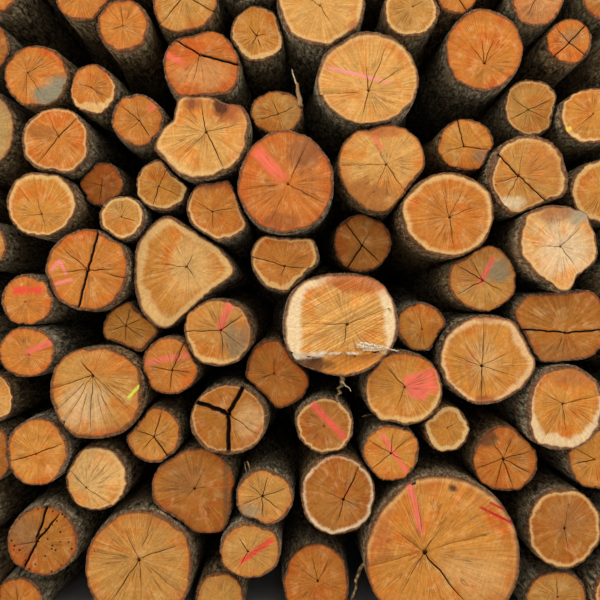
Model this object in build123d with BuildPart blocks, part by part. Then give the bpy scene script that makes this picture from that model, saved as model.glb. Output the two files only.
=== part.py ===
from build123d import *
import math
import os

# A stack of two-metre logs, built course by course. Millimetres, +Z up, the near ends face -Y.
# Every log is one solid that runs through the whole stack, a little thicker at its far end.

# Driving sizes
log_length = 2000
bark = 6
eye_distance = 3000
eye_height = 925

# How the logs bear on one another
press_gap = 0.3
press_depth = 5
press_margin = 2
floor_press = 1.0
smallest_growth = 1.01
largest_growth = 1.18
growth_step = 0.005
bearings_wanted = 3
give_way_step = 60

# How round a log is
outline_points = 24
triangle_share = 0.012
pentagon_share = 0.008
far_drift = 12


class Log:
    """One log: where its near end is seen, how wide and high its wood is, and how far it stands forward.

    Bumps are (angle, height, spread) in degrees and millimetres, for ends that are far from round.
    Splits are (x, z, x, z, width, depth) from the middle of the end, for cracks that stand open.
    Torn is (height, depth) of a lower part that broke off behind the saw cut.
    Lean is how far the far end lies to the right and up, for logs that don't lie square in the stack.
    """

    def __init__(self, x, z, width, height, forward=0, bumps=(), splits=(), torn=None, lean=(0, 0)):
        # What stands forward of the measuring plane looks larger than it is.
        nearness = (eye_distance - forward) / eye_distance
        self.x = x * nearness
        self.z = eye_height + (z - eye_height) * nearness
        self.width = width * nearness
        self.height = height * nearness
        self.forward = forward
        self.bumps = bumps
        self.splits = splits
        self.torn = torn
        self.lean = lean
        self.phase = x / 97 + z / 61
        self.growth = smallest_growth
        self.on_floor = False

    def outline(self, growth):
        """Points round the bark, from the middle of the log."""
        points = []
        for step in range(outline_points):
            angle = 2 * math.pi * step / outline_points
            across = math.cos(angle) / (self.width / 2)
            up = math.sin(angle) / (self.height / 2)
            radius = 1 / math.hypot(across, up)
            radius *= 1 + triangle_share * math.cos(3 * angle + self.phase)
            radius *= 1 + pentagon_share * math.cos(5 * angle - 2 * self.phase)
            for bump_angle, bump_height, spread in self.bumps:
                turn = (math.degrees(angle) - bump_angle + 180) % 360 - 180
                radius += bump_height * math.exp(-(turn / spread) ** 2)
            radius = (radius + bark) * growth
            points.append((radius * math.cos(angle), radius * math.sin(angle)))
        return points

    def middle(self, far):
        """Middle of the near or far end. A log of the bottom course stands on the floor at both ends."""
        x = self.x
        z = self.z
        if far:
            x += self.lean[0] + far_drift * math.cos(self.phase)
            z += self.lean[1] + far_drift * math.sin(self.phase)
        if self.on_floor:
            lowest = min(point[1] for point in self.outline(self.growth if far else 1))
            z = -lowest - floor_press
        return x, z

    def reach(self, far, across, up):
        """How far the outline goes out along a direction."""
        growth = self.growth if far else 1
        return max(x * across + z * up for x, z in self.outline(growth))


# The courses, from the floor up: x, z, width and height of the wood, how far the end stands forward
bottom_course_logs = [
    Log(-1165, 75, 150, 150, -40),
    Log(-980, 112, 225, 225, 30),
    Log(-790, 67, 135, 135, -20),
    Log(-450, 168, 300, 335, 10),
    Log(-225, 75, 135, 150, -20),
    Log(45, 110, 185, 220, -60),
    Log(400, 220, 435, 440, 40),
    Log(720, 75, 180, 150, -30),
    Log(920, 95, 190, 190, 20),
    Log(1100, 80, 160, 160, -10),
]
second_course_logs = [
    Log(-1140, 240, 170, 170, 20),
    Log(-935, 330, 170, 170, -30),
    Log(-720, 250, 200, 195, 10, splits=[(-40, -90, 10, 80, 9, 120), (10, 5, 55, 80, 8, 90)]),
    Log(-140, 225, 170, 155, 20),
    Log(740, 285, 205, 225, 0),
    Log(930, 280, 170, 170, -20),
    Log(1090, 245, 150, 150, 10),
]
third_course_logs = [
    Log(-1040, 450, 150, 150, 0),
    Log(-880, 495, 145, 170, -20),
    Log(-735, 500, 170, 190, 20),
    Log(-570, 425, 170, 180, -10),
    Log(-295, 390, 240, 235, -30, bumps=[(-55, 10, 14)]),
    Log(-100, 370, 160, 155, 10),
    Log(105, 380, 205, 230, 0),
    Log(575, 480, 180, 185, -30),
    Log(835, 480, 170, 170, -20),
    Log(995, 435, 145, 145, 20),
]
fourth_course_logs = [
    Log(-1010, 620, 175, 175, -20),
    Log(-860, 650, 110, 140, -20),
    Log(-570, 665, 260, 265, 40, bumps=[(270, -8, 20), (140, 6, 15)]),
    Log(-410, 550, 155, 160, -20),
    Log(-200, 590, 215, 195, 20, splits=[(0, 12, -96, 46, 15, 160), (0, 12, 40, 84, 15, 160), (0, 16, 2, -98, 15, 160)]),
    Log(70, 575, 160, 160, 10),
    Log(255, 500, 155, 160, 20),
    Log(410, 565, 125, 130, -20),
    Log(745, 625, 215, 240, 60, bumps=[(225, 16, 18)]),
    Log(930, 630, 150, 150, -10),
]
fifth_course_logs = [
    Log(-945, 795, 170, 170, 10),
    Log(-765, 780, 155, 140, 30),
    Log(-365, 740, 160, 160, 0),
    Log(-60, 720, 180, 195, -60, lean=(-10, 45)),
    Log(290, 675, 220, 205, 30),
    Log(525, 760, 270, 250, 40),
    Log(950, 800, 170, 170, -30),
]
sixth_course_logs = [
    Log(-980, 955, 145, 145, -30),
    Log(-765, 925, 145, 140, 20),
    Log(-475, 845, 155, 155, -80),
    Log(-230, 835, 190, 190, 30, lean=(40, 15)),
    Log(115, 855, 320, 290, 150, bumps=[(40, 10, 22), (140, 10, 22), (220, 6, 16)], torn=(-68, 30)),
    Log(340, 850, 135, 135, -30, lean=(-20, 35)),
    Log(730, 860, 270, 240, 20, splits=[(-130, -18, 130, -14, 6, 90)]),
    Log(920, 965, 145, 145, 20),
]
seventh_course_logs = [
    Log(-1040, 1105, 155, 155, 0),
    Log(-890, 1080, 135, 135, -10),
    Log(-595, 1010, 230, 230, 20, splits=[(-3, 0, 30, 102, 9, 140), (-3, 0, -25, -106, 9, 140)]),
    Log(-340, 1000, 260, 335, -20, bumps=[(-3, 30, 22), (50, -12, 22), (-52, -8, 20)]),
    Log(-40, 1040, 190, 185, 0, lean=(-15, -25)),
    Log(175, 1085, 160, 160, -80, lean=(-40, 0)),
    Log(510, 985, 190, 185, 10),
    Log(720, 1085, 215, 215, 100, bumps=[(-79, 26, 12), (-18, 8, 12), (-140, -8, 20)]),
    Log(925, 1100, 110, 110, -20),
]
eighth_course_logs = [
    Log(-980, 1225, 110, 110, 10),
    Log(-725, 1195, 195, 185, 20),
    Log(-500, 1155, 125, 125, 10),
    Log(-225, 1180, 180, 180, 10),
    Log(415, 1165, 260, 235, 60),
    Log(850, 1230, 180, 180, -20),
]
ninth_course_logs = [
    Log(-555, 1250, 120, 120, -80),
    Log(-385, 1250, 145, 145, -30),
    Log(-40, 1255, 270, 285, 80),
    Log(230, 1300, 245, 250, 20),
    Log(640, 1270, 225, 235, 40, splits=[(-28, 0, -86, 60, 7, 90), (-28, 0, 60, -66, 6, 90)]),
    Log(980, 1345, 150, 150, 0),
]
tenth_course_logs = [
    Log(-910, 1405, 215, 250, 0),
    Log(-685, 1370, 190, 190, 10),
    Log(-455, 1430, 145, 145, -10),
    Log(-270, 1378, 245, 230, 60, bumps=[(30, 18, 20), (118, 10, 12), (150, -14, 15), (191, 12, 14), (300, -9, 18)]),
    Log(-65, 1450, 145, 120, -40),
    Log(465, 1360, 160, 145, -20, lean=(-20, -25)),
    Log(650, 1465, 155, 155, -60),
    Log(820, 1440, 180, 155, 0),
]
eleventh_course_logs = [
    Log(-1010, 1560, 95, 95, 10),
    Log(-890, 1635, 150, 150, -60),
    Log(-740, 1550, 175, 175, 0, lean=(100, 60)),
    Log(-580, 1515, 125, 140, -10, lean=(40, 30)),
    Log(-275, 1575, 215, 215, 0, splits=[(-72, 68, 20, 20, 7, 110), (20, 20, 100, -2, 10, 110)]),
    Log(190, 1545, 285, 260, 40),
    Log(515, 1625, 215, 230, 0),
    Log(755, 1650, 125, 125, -10, lean=(-15, -25)),
    Log(925, 1610, 165, 165, -20),
]
top_course_logs = [
    Log(-870, 1810, 170, 170, -20),
    Log(-610, 1785, 155, 155, 0),
    Log(-495, 1695, 145, 145, 20),
    Log(-325, 1760, 180, 180, 10, lean=(-10, -10)),
    Log(-120, 1670, 150, 155, -20),
    Log(60, 1750, 245, 225, 20),
    Log(310, 1740, 155, 155, 0),
    Log(435, 1790, 125, 125, -20),
    Log(665, 1770, 150, 150, 0),
    Log(870, 1790, 170, 170, -30),
]
# The logs on top of the stack, above what the measuring plane shows
crown_course_logs = [
    Log(-722, 1928, 186, 186, 0),
    Log(-464, 1873, 160, 160, 10),
    Log(-148, 1898, 238, 238, 30),
    Log(222, 1896, 180, 180, -10),
    Log(395, 1954, 158, 158, 20),
    Log(550, 1888, 154, 154, 0),
    Log(745, 1921, 170, 170, -20),
]
courses = {
    "bottom_course": bottom_course_logs,
    "second_course": second_course_logs,
    "third_course": third_course_logs,
    "fourth_course": fourth_course_logs,
    "fifth_course": fifth_course_logs,
    "sixth_course": sixth_course_logs,
    "seventh_course": seventh_course_logs,
    "eighth_course": eighth_course_logs,
    "ninth_course": ninth_course_logs,
    "tenth_course": tenth_course_logs,
    "eleventh_course": eleventh_course_logs,
    "top_course": top_course_logs,
    "crown_course": crown_course_logs,
}
logs = [log for course in courses.values() for log in course]
for log in bottom_course_logs:
    log.on_floor = True


# Where two neighbouring logs face one another
def facing(log, other):
    """Direction from one log to the other, between the middles of their near and far ends."""
    x1, z1 = log.middle(False)
    x2, z2 = log.middle(True)
    x3, z3 = other.middle(False)
    x4, z4 = other.middle(True)
    across = x3 + x4 - x1 - x2
    up = z3 + z4 - z1 - z2
    length = math.hypot(across, up)
    return across / length, up / length


def sides(log, other, far):
    """The log's furthest point and the other's nearest one, along the direction between them."""
    across, up = facing(log, other)
    x1, z1 = log.middle(far)
    x2, z2 = other.middle(far)
    furthest = x1 * across + z1 * up + log.reach(far, across, up)
    nearest = x2 * across + z2 * up - other.reach(far, -across, -up)
    return furthest, nearest


def close_to(log, other):
    sizes = log.width + log.height + other.width + other.height
    return math.hypot(log.x - other.x, log.z - other.z) < sizes / 4 * 1.8


neighbours = {log: [other for other in logs if other is not log and close_to(log, other)] for log in logs}


# Logs taper, so each grows towards its far end until it bears on its neighbours
def bearings(log):
    count = 1 if log.on_floor else 0
    for other in neighbours[log]:
        furthest, nearest = sides(log, other, True)
        if furthest - nearest > press_depth:
            count += 1
    return count


growing = logs
while growing:
    growing = [log for log in growing if bearings(log) < bearings_wanted and log.growth < largest_growth]
    for log in growing:
        log.growth += growth_step


# The flat where a log presses on a neighbour: one plane for both, the gap apart
def press_plane(log, other):
    across, up = facing(log, other)
    near_reach, near_side = sides(log, other, False)
    far_reach, far_side = sides(log, other, True)
    # The log that stands forward keeps its shape, and the one behind it gives way.
    keeps = (log.forward - other.forward) / give_way_step
    share = 0.5 + max(-0.5, min(0.5, keeps / 2))
    near = near_side + (near_reach - near_side) * share
    far = (far_side + far_reach) / 2
    slope = (far - near) / log_length
    near -= press_gap / 2
    return Plane(origin=(across * near, 0, up * near), z_dir=(across, -slope, up))


def presses(log, other):
    for far in (False, True):
        furthest, nearest = sides(log, other, far)
        if furthest > nearest - press_margin:
            return True
    return False


def end_points(log, far):
    x, z = log.middle(far)
    return [(x + px, z + pz) for px, pz in log.outline(log.growth if far else 1)]


# One log
def split_wedge(log, near_plane, x1, z1, x2, z2, width, depth):
    """What a crack opens: wide at the sawn end, almost closed inside the log."""
    x, z = log.middle(False)
    length = math.hypot(x2 - x1, z2 - z1)
    angle = math.degrees(math.atan2(z2 - z1, x2 - x1))
    with BuildPart() as wedge:
        with BuildSketch(near_plane.offset(1)):
            with Locations(Location((x + (x1 + x2) / 2, z + (z1 + z2) / 2), angle)):
                Rectangle(length + width, width)
        with BuildSketch(near_plane.offset(-depth)):
            with Locations(Location((x + (x1 + x2) / 2, z + (z1 + z2) / 2), angle)):
                Rectangle(length - width, width / 8)
        loft(ruled=True)
    return wedge.part


def torn_away(log, near_plane, level, depth):
    """What is missing below the ragged line where the last strip tore off instead of being sawn."""
    x, z = log.middle(False)
    with BuildPart() as missing:
        with BuildSketch(near_plane.offset(1)):
            with Locations((x, z + level)):
                Rectangle(2 * log.width, 2 * log.height, align=(Align.CENTER, Align.MAX))
        extrude(amount=-depth - 1)
    return missing.part


def log_body(log):
    near_plane = Plane.XZ.offset(log.forward)
    far_plane = Plane.XZ.offset(log.forward - log_length)
    openings = [split_wedge(log, near_plane, *line) for line in log.splits]
    if log.torn:
        openings.append(torn_away(log, near_plane, *log.torn))
    with BuildPart() as body:
        with BuildSketch(near_plane):
            with BuildLine():
                Polyline(*end_points(log, False), close=True)
            make_face()
        with BuildSketch(far_plane):
            with BuildLine():
                Polyline(*end_points(log, True), close=True)
            make_face()
        loft(ruled=True, clean=False)
        for other in neighbours[log]:
            if presses(log, other):
                split(bisect_by=press_plane(log, other), keep=Keep.BOTTOM)
        if log.on_floor:
            split(bisect_by=Plane.XY, keep=Keep.TOP)
        for opening in openings:
            add(opening, mode=Mode.SUBTRACT, clean=False)
    return body.part


bodies = {log: log_body(log) for log in logs}

# The frame's origin is under the middle of the stack, on the floor
ends = [point for log in logs for far in (False, True) for point in end_points(log, far)]
middle_x = (min(x for x, z in ends) + max(x for x, z in ends)) / 2
front = max(log.forward for log in logs)
back = log_length - min(log.forward for log in logs)
to_origin = Location((-middle_x, (front - back) / 2, 0))

os.makedirs("parts", exist_ok=True)
for name, course in courses.items():
    with BuildPart() as course_part:
        add([bodies[log].moved(to_origin) for log in course], clean=False)
    course_part.part.label = name
    export_step(course_part.part, f"parts/{name}.step")
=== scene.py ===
# %% [markdown]
# # A stack of freshly cut logs
# This lesson dresses a stack of a hundred two-metre logs of alder. One log is modelled by hand from a
# circle. It is then copied to every place in the stack, bent to the outline of its own log there, and given
# its own pith, cracks, colour and paint. A cylinder for each place would do as well, but with one pattern
# every log has the same rings and rows of points, so cracks and colours are worked out in one way for all.
# Everything is in metres. The sawn near ends face -Y, and +Z is up.

import functools
import math
from types import SimpleNamespace

import bmesh
import bpy
import numpy as np
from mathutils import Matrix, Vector
from mathutils.bvhtree import BVHTree


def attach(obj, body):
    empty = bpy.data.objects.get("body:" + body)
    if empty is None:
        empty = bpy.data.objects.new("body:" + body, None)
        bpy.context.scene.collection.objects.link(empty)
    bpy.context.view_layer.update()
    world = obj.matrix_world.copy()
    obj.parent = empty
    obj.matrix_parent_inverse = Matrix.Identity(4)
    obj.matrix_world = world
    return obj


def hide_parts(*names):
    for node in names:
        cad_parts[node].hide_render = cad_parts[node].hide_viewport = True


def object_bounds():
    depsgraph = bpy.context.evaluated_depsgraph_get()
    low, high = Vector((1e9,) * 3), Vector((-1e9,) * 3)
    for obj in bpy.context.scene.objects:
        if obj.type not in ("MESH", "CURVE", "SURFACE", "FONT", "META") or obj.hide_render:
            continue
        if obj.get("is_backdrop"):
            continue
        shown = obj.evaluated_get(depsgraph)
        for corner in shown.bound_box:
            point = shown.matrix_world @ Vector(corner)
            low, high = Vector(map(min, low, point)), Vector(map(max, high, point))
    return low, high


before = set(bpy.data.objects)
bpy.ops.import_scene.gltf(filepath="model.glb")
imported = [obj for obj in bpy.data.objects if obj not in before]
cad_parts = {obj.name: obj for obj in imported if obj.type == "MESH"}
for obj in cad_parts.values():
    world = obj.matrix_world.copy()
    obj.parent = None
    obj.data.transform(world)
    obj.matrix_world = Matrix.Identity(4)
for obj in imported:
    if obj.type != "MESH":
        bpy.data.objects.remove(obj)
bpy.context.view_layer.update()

# %% [markdown]
# ## Where the photograph was taken from
# The stack was measured on a plane that faces the camera, 3 m away, at a height of 0.925 m. A log that
# stands forward of that plane looks larger than it is, so the same rule turns places back and forth.

# %% Measures shared with the camera
EYE_DISTANCE = 3.0
EYE_HEIGHT = 0.925
MIDDLE_X = 0.029
PLANE_Y = -0.965
SEEN_WIDTH = 1.68

# Millimetres are used for everything that a person would measure on a log.
MM = 0.001

# %% [markdown]
# ## Helpers
# A colour is written as the hex number that a picture would show. Shaders calculate with light, so one
# function turns the hex number into linear values. Another adds a node with its settings and links, and the
# settings that many nodes share have names.

# %% Colour and node helpers
TIMES = {"operation": "MULTIPLY"}
PLUS = {"operation": "ADD"}
MINUS = {"operation": "SUBTRACT"}
TIMES_PLUS = {"operation": "MULTIPLY_ADD"}
SOFT_STEP = {"interpolation_type": "SMOOTHSTEP"}
MIXED = {"data_type": "RGBA"}
TINTED = {"data_type": "RGBA", "blend_type": "MULTIPLY"}


def linear(hex_colour):
    """The linear red, green and blue of a hex colour, with an alpha of 1."""
    channels = [int(hex_colour[i : i + 2], 16) / 255 for i in (1, 3, 5)]
    return [c / 12.92 if c <= 0.04045 else ((c + 0.055) / 1.055) ** 2.4 for c in channels] + [1.0]


def add_node(tree, kind, *values, **named):
    """Adds a node of a kind, with its settings and links.

    Values go to the inputs in use, in order. A name with a capital is an input, another name is a setting.
    A node that is given as a value is linked from its first output in use.
    """
    made = tree.nodes.new("ShaderNode" + kind)
    for name, value in named.items():
        if name[0].islower():
            setattr(made, name, value)
    pairs = list(zip([socket for socket in made.inputs if socket.enabled], values))
    pairs += [(made.inputs[name], value) for name, value in named.items() if name[0].isupper()]
    for socket, value in pairs:
        if isinstance(value, bpy.types.Node):
            value = next(output for output in value.outputs if output.enabled)
        if isinstance(value, bpy.types.NodeSocket):
            tree.links.new(value, socket)
        else:
            socket.default_value = value
    return made


def per_metre(size):
    """A texture's scale, from the size of its pattern in millimetres."""
    return 1 / (size * MM)


def new_material(name):
    """An empty material, and the function that adds nodes to it."""
    material = bpy.data.materials.new(name)
    material.use_nodes = True
    material.node_tree.nodes.clear()
    return material, functools.partial(add_node, material.node_tree)


def finish_surface(add, colour, roughness, specular=0.5, **inputs):
    """The shader of a thing that isn't metal, with the default IOR, and the material's output."""
    inputs.update({"Base Color": colour, "Roughness": roughness, "Specular IOR Level": specular})
    add("OutputMaterial", add("BsdfPrincipled", **inputs))


# %% [markdown]
# ## Freshly sawn end grain
# The end of a log is what the eye goes to. It has fine rays that run out from the pith, faint growth
# rings, orange patches where the sap has darkened in the air, a pale ring of sapwood under the bark, and
# straight marks from the saw. A picture of wood could be laid over each end, but then all would look alike.
# Here the patterns are calculated from values that each log brings as attributes of its mesh: `place` is
# the way from the pith, `rim` goes from 0 at the pith to 1 at the bark, and `crack` is 1 in a crack. A patch
# or a paint stroke comes as coordinates in which it runs from -1 to 1.

# %% Sawn wood: where a point lies
PATCHES = ("patch_a", "patch_b", "patch_c")
STROKES = ("stroke_a", "stroke_b", "stroke_c")
PATCH_TONES = tuple(name + "_tone" for name in PATCHES)
WOOD_VALUES = ("place", "rim", "crack", "holes", "saw", "tone", "edge_tone", "paint_and_shade")

wood_material, add = new_material("sawn_alder_end_grain")
names = WOOD_VALUES + PATCHES + PATCH_TONES + STROKES
read = {name: add("Attribute", attribute_name=name).outputs for name in names}
place = read["place"]["Vector"]
rim = read["rim"]["Fac"]
from_pith = add("SeparateXYZ", place).outputs
log_number = from_pith[2]
flat = add("CombineXYZ", from_pith[0], from_pith[1])
radius = add("VectorMath", flat, operation="LENGTH")
outward = add("VectorMath", flat, operation="NORMALIZE")
print("the wood reads", len(read), "attributes")

# %% [markdown]
# ## Rays and hair cracks
# Rays are noise that changes quickly round the pith and slowly outwards. Noise on a circle of radius 46
# has about 290 rays, which on a log 18 cm across are 2 mm apart. Most real rays are finer, too fine to
# show in the render, so they are drawn coarser. Hair cracks are the lines where slower noise crosses its
# middle value. They are broken here and there and fade out before the bark.

# %% Sawn wood: rays and hair cracks
CHANGE_OUTWARDS = 7.0
SMALL_RADIUS = 50 * MM
HAIR_WIDTHS = (0.35 * MM, 2.7 * MM)
ray_lift = add("CombineXYZ", Z=add("Math", radius, CHANGE_OUTWARDS, log_number, **TIMES_PLUS))


def round_the_pith(circle):
    """A place for noise on a circle of this radius, which has about six times as many rays."""
    around = add("VectorMath", outward, (circle, circle, circle), **TIMES)
    return add("VectorMath", around, ray_lift, **PLUS)


rays = add("TexNoise", round_the_pith(46), 1.0, 3.0, 0.75)
streaks = add("TexNoise", round_the_pith(11), 1.0, 3.0, 0.6)
sectors = add("TexNoise", round_the_pith(2.2), 1.0, 1.0, 0.6)

wander = add("TexNoise", round_the_pith(7), 1.0, 2.0, 0.5)
hair = add("Math", add("Math", wander, 0.5, **MINUS), operation="ABSOLUTE")
hair = add("Math", hair, add("Math", radius, SMALL_RADIUS, operation="MAXIMUM"), **TIMES)
hair = add("MapRange", hair, *HAIR_WIDTHS, 1.0, 0.0, **SOFT_STEP)
broken = add("TexNoise", place, per_metre(60), 2.0, 0.6)
hair = add("Math", hair, add("MapRange", broken, 0.38, 0.62, **SOFT_STEP), **TIMES)
hair = add("Math", hair, add("MapRange", rim, 0.55, 0.95, 1.0, 0.0, **SOFT_STEP), **TIMES)

# %% [markdown]
# ## Growth rings, blotches and saw marks
# Alder grows fast, so its rings are about 4 mm apart. They follow the way from the pith, swayed a little by
# noise. The chain of the saw leaves straight marks, which lie at another angle on each log.

# %% Sawn wood: rings, blotches and saw marks
RING_SPACING = 4.2 * MM
SAW_SPACING = 4.4
sway = add("Math", add("TexNoise", place, per_metre(70), 2.0, 0.6), 22.0, **TIMES)
rings = add("Math", radius, 2 * math.pi / RING_SPACING, sway, **TIMES_PLUS)
rings = add("Math", rings, operation="SINE")

# Blotches of a hand's width, smudges of two fingers' width and specks of a pencil's
blotches = add("TexNoise", place, per_metre(90), 3.0, 0.6, Distortion=0.6)
smudges = add("TexNoise", place, per_metre(37), 4.0, 0.65, Distortion=0.4)
specks = add("TexNoise", place, per_metre(8), 3.0, 0.7)

saw = add("SeparateXYZ", read["saw"]["Vector"]).outputs
saw_strength = saw[2]
across = add("VectorMath", flat, add("CombineXYZ", saw[0], saw[1]), operation="DOT_PRODUCT")
across = add("Math", across, per_metre(SAW_SPACING), **TIMES)
saw_marks = add("TexNoise", add("CombineXYZ", across, Z=log_number), 1.0, 2.0, 0.7)

# %% [markdown]
# ## Colour of the sawn wood
# Fresh alder is pale and turns orange in the air, unevenly. So each log's own tone is mixed with a warmer
# and a paler one, and then shaded by the rays, rings, specks and saw marks.

# %% Sawn wood: colour
tone = read["tone"]["Color"]
warm = add("Mix", 1.0, tone, linear("#F4CC92"), **TINTED)
pale = add("Mix", 0.42, tone, linear("#F0C688"), **MIXED)
colour = add("Mix", add("MapRange", blotches, 0.48, 0.70, **SOFT_STEP), tone, warm, **MIXED)
for noise, (low, high), strength in ((smudges, (0.48, 0.70), 0.55), (streaks, (0.5, 0.75), 0.22)):
    amount = add("Math", add("MapRange", noise, low, high, **SOFT_STEP), strength, **TIMES)
    colour = add("Mix", amount, colour, pale, **MIXED)
outer = add("MapRange", add("Math", sectors, 0.5, rim, **TIMES_PLUS), 0.95, 1.3, **SOFT_STEP)
darker = add("Mix", 1.0, colour, linear("#EBB47C"), **TINTED)
colour = add("Mix", add("Math", outer, 0.55, **TIMES), colour, darker, **MIXED)
ray_shade = add("Math", rays, 1.9, 0.10, **TIMES_PLUS)
colour = add("Mix", 0.72, colour, ray_shade, **TINTED)

# Each shade is a number near 1: a strength times a pattern, and what is needed to bring it back to 1
speck_shade = add("Math", specks, 0.8, 0.6, **TIMES_PLUS)
shade = add("Math", add("Math", saw_marks, 0.5, **MINUS), saw_strength, 1.0, **TIMES_PLUS)
shade = add("Math", shade, speck_shade, **TIMES)
for pattern_noise, strength, rest in ((rings, 0.05, 0.99), (streaks, 0.5, 0.75), (blotches, 0.6, 0.70)):
    shade = add("Math", shade, add("Math", pattern_noise, strength, rest, **TIMES_PLUS), **TIMES)
colour = add("Mix", 1.0, colour, shade, **TINTED)

# %% [markdown]
# ## Sapwood and the line under the bark
# The outer, living wood of a log stays pale. On most logs it is wider on one side. The alpha of a log's
# tone says how wide it is, as a share of the way from the pith. Where the wood meets the bark there is a
# thin reddish line.

# %% Sawn wood: sapwood
sap_width = add("Math", read["tone"]["Alpha"], add("Math", sectors, 1.4, 0.3, **TIMES_PLUS), **TIMES)
uneven = add("Math", add("Math", streaks, 0.5, **MINUS), 0.08, rim, **TIMES_PLUS)
inner_edge = add("Math", 1.0, sap_width, **MINUS)
sap = add("MapRange", add("Math", uneven, inner_edge, **MINUS), -0.05, 0.06, **SOFT_STEP)
sap = add("Math", sap, add("MapRange", sap_width, 0.0, 0.04, **SOFT_STEP), **TIMES)
sap_shade = add("Math", add("Math", rays, 0.7, 0.64, **TIMES_PLUS), speck_shade, **TIMES)
sap_tone = add("Mix", 1.0, read["edge_tone"]["Color"], sap_shade, **TINTED)
colour = add("Mix", add("Math", sap, 0.82, **TIMES), colour, sap_tone, **MIXED)
cambium = add("MapRange", add("Math", smudges, 0.06, rim, **TIMES_PLUS), 0.985, 1.03, **SOFT_STEP)
colour = add("Mix", add("Math", cambium, 0.8, **TIMES), colour, linear("#6E3114"), **MIXED)

# %% [markdown]
# ## Patches, spray paint and painted shade
# Dirt, a knot or darker heartwood is a patch with a soft, uneven edge. On a few logs a patch is painted shade
# instead: the shadow under the torn step, and the shade in two knot hollows. The foresters marked some ends
# with a spray can, and one dark brown stroke is painted shade down a flat side rather than paint. Paint is
# thinner towards the edges of a stroke and where the wood is rough, so the mask of a stroke is disturbed by
# the same noise that makes the wood's specks and rays.

# %% Sawn wood: patches
ray_gaps = add("Math", rays, 1.0, 0.35, **TIMES_PLUS)
# Most patches are the wood's own colour. The patch under the torn step is a painted shadow, and those in two
# knot hollows are partly painted shade.
for name in PATCHES:
    spot = add("VectorMath", read[name]["Vector"], operation="LENGTH")
    spot = add("Math", add("Math", blotches, 0.5, **MINUS), 1.3, spot, **TIMES_PLUS)
    spot = add("Math", add("Math", smudges, 0.5, **MINUS), 1.1, spot, **TIMES_PLUS)
    inside = add("MapRange", spot, 0.45, 1.15, 1.0, 0.0, **SOFT_STEP)
    inside = add("Math", inside, ray_gaps, use_clamp=True, **TIMES)
    inside = add("Math", inside, read[name + "_tone"]["Alpha"], **TIMES)
    patch_tone = add("Mix", 1.0, read[name + "_tone"]["Color"], shade, **TINTED)
    colour = add("Mix", inside, colour, patch_tone, **MIXED)

# %% Sawn wood: spray paint, and one stroke of painted shade
rough = add("Math", specks, 0.5, **MINUS)
paint_and_shade = 0.0
for name in STROKES:
    stroke = add("SeparateXYZ", read[name]["Vector"]).outputs
    side = add("Math", rough, 0.9, add("Math", stroke[1], operation="ABSOLUTE"), **TIMES_PLUS)
    end = add("Math", rough, 0.4, add("Math", stroke[0], operation="ABSOLUTE"), **TIMES_PLUS)
    mask = add("MapRange", side, 0.25, 1.15, 1.0, 0.0, **SOFT_STEP)
    mask = add("Math", mask, add("MapRange", end, 0.75, 1.1, 1.0, 0.0, **SOFT_STEP), **TIMES)
    paint_and_shade = add("Math", paint_and_shade, mask, operation="MAXIMUM")
paint_and_shade = add("Math", paint_and_shade, add("Math", rays, 1.3, 0.35, **TIMES_PLUS), use_clamp=True, **TIMES)
paint_and_shade = add("Math", paint_and_shade, add("MapRange", smudges, 0.2, 0.5, **SOFT_STEP), **TIMES)
paint_and_shade = add("Math", paint_and_shade, read["paint_and_shade"]["Alpha"], **TIMES)
# Each stroke's colour is mixed in. It is spray paint on most logs, and painted shade on the log at (-295,
# 390).
paint_shade = add("Math", ray_shade, 1.1, **TIMES)
paint_and_shade_tone = add("Mix", 0.5, read["paint_and_shade"]["Color"], paint_shade, **TINTED)
colour = add("Mix", paint_and_shade, colour, paint_and_shade_tone, **MIXED)

# %% [markdown]
# ## Pith, insect holes, cracks and relief
# The pith is a dark dot. One old log has holes made by insects, about 17 mm apart, and their near-black
# colour is painted shade inside the holes. Cracks are painted near black inside, as painted shade on top
# of their sunk geometry. The rays, saw marks and specks also raise the surface a little, which a bump
# shows, because relief of half a millimetre needs no geometry.

# %% Sawn wood: finish
PITH_RADII = (0.8 * MM, 2.6 * MM)
HOLE_SPACING = 17
colour = add("Mix", add("Math", hair, 0.52, **TIMES), colour, linear("#5A2C12"), **MIXED)
pith_dot = add("MapRange", radius, *PITH_RADII, 1.0, 0.0, **SOFT_STEP)
colour = add("Mix", add("Math", pith_dot, 0.8, **TIMES), colour, linear("#3A1C0C"), **MIXED)
# Insect holes: their near-black colour is painted shade inside each hole.
hole_shade = add("TexVoronoi", place, per_metre(HOLE_SPACING), Randomness=1.0)
hole_shade = add("MapRange", hole_shade, 0.15, 0.22, 1.0, 0.0, **SOFT_STEP)
hole_shade = add("Math", hole_shade, read["holes"]["Fac"], **TIMES)
colour = add("Mix", hole_shade, colour, linear("#24140A"), **MIXED)
# Cracks: their near-black colour is painted shade inside the open crack.
crack_shade = add("MapRange", read["crack"]["Fac"], 0.04, 0.35, **SOFT_STEP)
colour = add("Mix", crack_shade, colour, linear("#1C0E06"), **MIXED)

relief = add("Math", rays, 0.6, add("Math", saw_marks, 0.8, **TIMES), **TIMES_PLUS)
relief = add("Math", specks, 0.5, relief, **TIMES_PLUS)
relief = add("Math", relief, add("Math", hair, 0.8, **TIMES), **MINUS)
bump = add("Bump", Height=relief, Strength=0.5, Distance=1.5 * MM)
finish_surface(add, colour, 0.78, 0.25, Normal=bump)

# %% [markdown]
# ## Bark
# Alder bark is grey-brown and rough, with furrows along the trunk, reddish where it is torn near the saw
# cut, and with grey lichen and green moss on the logs that lay in the damp. The furrows and the plates
# between them are 13 to 16 mm wide and four to five times as long. The furrows and the edges of the plates
# are darker and the ridges paler, partly in the bark's own colour and partly as painted shade and painted
# highlight. The attribute `age` makes one log's bark browner and the next one's greyer.

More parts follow.
